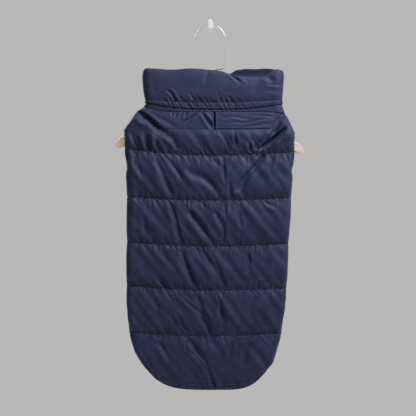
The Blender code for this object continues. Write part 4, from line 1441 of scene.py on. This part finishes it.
def new_material(name, **values):
    """A material whose shader has the given values. Returns it with its node tree, its shader
    and the output that places a texture on the object."""
    made = bpy.data.materials.new(name)
    made.use_nodes = True
    tree = made.node_tree
    shader = tree.nodes["Principled BSDF"]
    for socket, value in values.items():
        shader.inputs[socket.replace("_", " ")].default_value = value
    place = tree.nodes.new("ShaderNodeTexCoord").outputs["Object"]
    return made, tree, shader, place


def texture(tree, place, kind, **values):
    """A texture's node on the object; its output "Fac" is its value."""
    made = node_of(tree, f"ShaderNodeTex{kind}", **values)
    tree.links.new(place, made.inputs["Vector"])
    return made


def colour_by(tree, shader, height, low, high, between=(0.0, 1.0)):
    """Colours the shader from low to high as height goes through the range between."""
    ramp = tree.nodes.new("ShaderNodeValToRGB")
    for element, position, colour in zip(ramp.color_ramp.elements, between, (low, high)):
        element.position = position
        element.color = (*colour, 1.0)
    tree.links.new(height, ramp.inputs["Fac"])
    tree.links.new(ramp.outputs["Color"], shader.inputs["Base Color"])


def bump_by(tree, shader, height, strength, distance):
    """Adds the relief height to the shader's normal, over what relief it already has."""
    bump = node_of(tree, "ShaderNodeBump", Strength=strength, Distance=distance)
    tree.links.new(height, bump.inputs["Height"])
    before = shader.inputs["Normal"]
    if before.is_linked:
        tree.links.new(before.links[0].from_socket, bump.inputs["Normal"])
    tree.links.new(bump.outputs["Normal"], before)


def nylon():
    """Plain-weave nylon: a fine weave, small crumples, and slight changes of colour."""
    made, tree, shader, place = new_material("navy_nylon", Roughness=0.6, Specular_IOR_Level=0.08)
    shader.inputs["Sheen Weight"].default_value = 0.04
    shader.inputs["Sheen Roughness"].default_value = 0.45
    shader.inputs["Sheen Tint"].default_value = (0.75, 0.82, 1.0, 1.0)
    patches = texture(tree, place, "Noise", Scale=34.0, Detail=4.0, Roughness=0.6)
    dark, light = (0.0096, 0.0098, 0.0262), (0.0136, 0.0141, 0.0362)
    colour_by(tree, shader, patches.outputs["Fac"], dark, light, (0.3, 0.72))
    both = node_of(tree, "ShaderNodeMath", operation="MAXIMUM")
    for i, direction in enumerate(("X", "Z")):
        weave = texture(tree, place, "Wave", bands_direction=direction, Scale=620.0, Distortion=0.3)
        tree.links.new(weave.outputs["Fac"], both.inputs[i])
    bump_by(tree, shader, both.outputs[0], 0.25, 0.00006)
    for scale, distance in ((900.0, 0.00010), (210.0, 0.00045)):
        crumples = texture(tree, place, "Noise", Scale=scale, Detail=3.0, Roughness=0.55)
        bump_by(tree, shader, crumples.outputs["Fac"], 0.5, distance)
    return made


def thread():
    """Twisted polyester thread: fine plies, and slight changes of colour along its length."""
    made, tree, shader, place = new_material("navy_thread", Roughness=0.6)
    fade = texture(tree, place, "Noise", Scale=150.0, Detail=3.0)
    colour_by(tree, shader, fade.outputs["Fac"], (0.010, 0.012, 0.028), (0.015, 0.018, 0.040))
    plies = texture(tree, place, "Wave", bands_direction="DIAGONAL", Scale=900.0)
    bump_by(tree, shader, plies.outputs["Fac"], 0.4, 0.00008)
    return made


def beech():
    """Pale beech with a fine grain along the bar."""
    made, tree, shader, place = new_material("beech", Roughness=0.5)
    stretch = node_of(tree, "ShaderNodeMapping", Scale=(1.0, 9.0, 9.0))
    tree.links.new(place, stretch.inputs["Vector"])
    along = stretch.outputs["Vector"]
    grain = texture(tree, along, "Noise", Scale=42.0, Detail=6.0, Roughness=0.62, Distortion=0.4)
    dark, light = (0.42, 0.24, 0.12), (0.66, 0.46, 0.28)
    colour_by(tree, shader, grain.outputs["Fac"], dark, light, (0.32, 0.62))
    bump_by(tree, shader, grain.outputs["Fac"], 0.3, 0.0002)
    return made


def plated_wire():
    """Plated steel wire, faintly uneven in its gloss."""
    made, tree, shader, place = new_material("plated_wire", Metallic=1.0)
    shader.inputs["Base Color"].default_value = (0.62, 0.60, 0.57, 1.0)
    specks = texture(tree, place, "Noise", Scale=60.0, Detail=3.0)
    gloss = tree.nodes.new("ShaderNodeMapRange")
    gloss.inputs["To Min"].default_value = 0.26
    gloss.inputs["To Max"].default_value = 0.34
    tree.links.new(specks.outputs["Fac"], gloss.inputs["Value"])
    tree.links.new(gloss.outputs["Result"], shader.inputs["Roughness"])
    return made


def white_plastic():
    """Moulded white plastic with the faintest orange peel."""
    made, tree, shader, place = new_material("white_plastic", Roughness=0.22)
    peel = texture(tree, place, "Noise", Scale=420.0, Detail=2.0)
    colour_by(tree, shader, peel.outputs["Fac"], (0.83, 0.83, 0.80), (0.90, 0.90, 0.88))
    bump_by(tree, shader, peel.outputs["Fac"], 0.2, 0.0001)
    return made


# ---------------------------------------------------------------- camera, light and floor


def make_camera():
    """A camera straight in front, which sees WIDTH_SEEN across at the coat."""
    data = bpy.data.cameras.new("camera")
    data.sensor_width = CAMERA_SENSOR
    data.lens = CAMERA_LENS
    camera = bpy.data.objects.new("camera", data)
    distance = WIDTH_SEEN * CAMERA_LENS / CAMERA_SENSOR
    depth = CAD_BOUNDS[0].y + VIEW_DEPTH - distance
    camera.location = (VIEW_CENTRE[0], depth, VIEW_CENTRE[1])
    camera.rotation_euler = (math.pi / 2, 0, 0)
    bpy.context.scene.collection.objects.link(camera)
    bpy.context.scene.camera = camera


def make_lamp(lamp):
    """A round soft lamp."""
    data = bpy.data.lights.new(lamp["name"], "AREA")
    data.shape = "DISK"
    data.size = lamp["size"]
    data.energy = lamp["watts"]
    data.color = lamp["colour"]
    made = bpy.data.objects.new(lamp["name"], data)
    made.location = lamp["place"]
    direction = Vector(lamp["aim"]) - Vector(lamp["place"])
    made.rotation_euler = direction.to_track_quat("-Z", "Y").to_euler()
    bpy.context.scene.collection.objects.link(made)


def make_studio():
    """Soft light from all round, two lamps and a plain pale floor."""
    world = bpy.data.worlds.new("studio")
    world.use_nodes = True
    background = world.node_tree.nodes["Background"]
    background.inputs["Color"].default_value = SKY["colour"]
    background.inputs["Strength"].default_value = SKY["strength"]
    bpy.context.scene.world = world
    for lamp in LAMPS:
        make_lamp(lamp)
    finish = bpy.data.materials.new("floor")
    finish.use_nodes = True
    shader = finish.node_tree.nodes["Principled BSDF"]
    shader.inputs["Base Color"].default_value = FLOOR["colour"]
    shader.inputs["Roughness"].default_value = FLOOR["roughness"]
    corners = [(x * FLOOR["half"], y * FLOOR["half"], FLOOR["z"]) for x, y in SQUARE]
    mesh = bpy.data.meshes.new("floor")
    mesh.from_pydata(corners, [], [(0, 1, 2, 3)])
    mesh.materials.append(finish)
    floor = bpy.data.objects.new("floor", mesh)
    bpy.context.scene.collection.objects.link(floor)


def main():
    make_camera()
    make_studio()
    cloth = nylon()
    back = make_back(cloth)
    belly = make_belly(cloth)
    ruches = make_ruches()
    make_collar(cloth, ruches)
    lines = ("collar_bottom", "casing_bottom")
    casing = make_neck_ring(
        "casing_cloth", "elastic_casing", lines, CASING_WALL, CASING_BULGE, ruches, cloth
    )
    lines = ("casing_bottom", "band_bottom")
    make_neck_ring("band_cloth", "neck_band", lines, BAND_WALL, BAND_BULGE, ruches, cloth)
    yokes = {side: make_yoke(side, back, wall, cloth) for side, wall in YOKE_WALL.items()}
    make_thread(back, belly, casing, yokes["right"], thread())
    make_bar(beech())
    make_wire(plated_wire())
    make_wall_hook(white_plastic())


main()
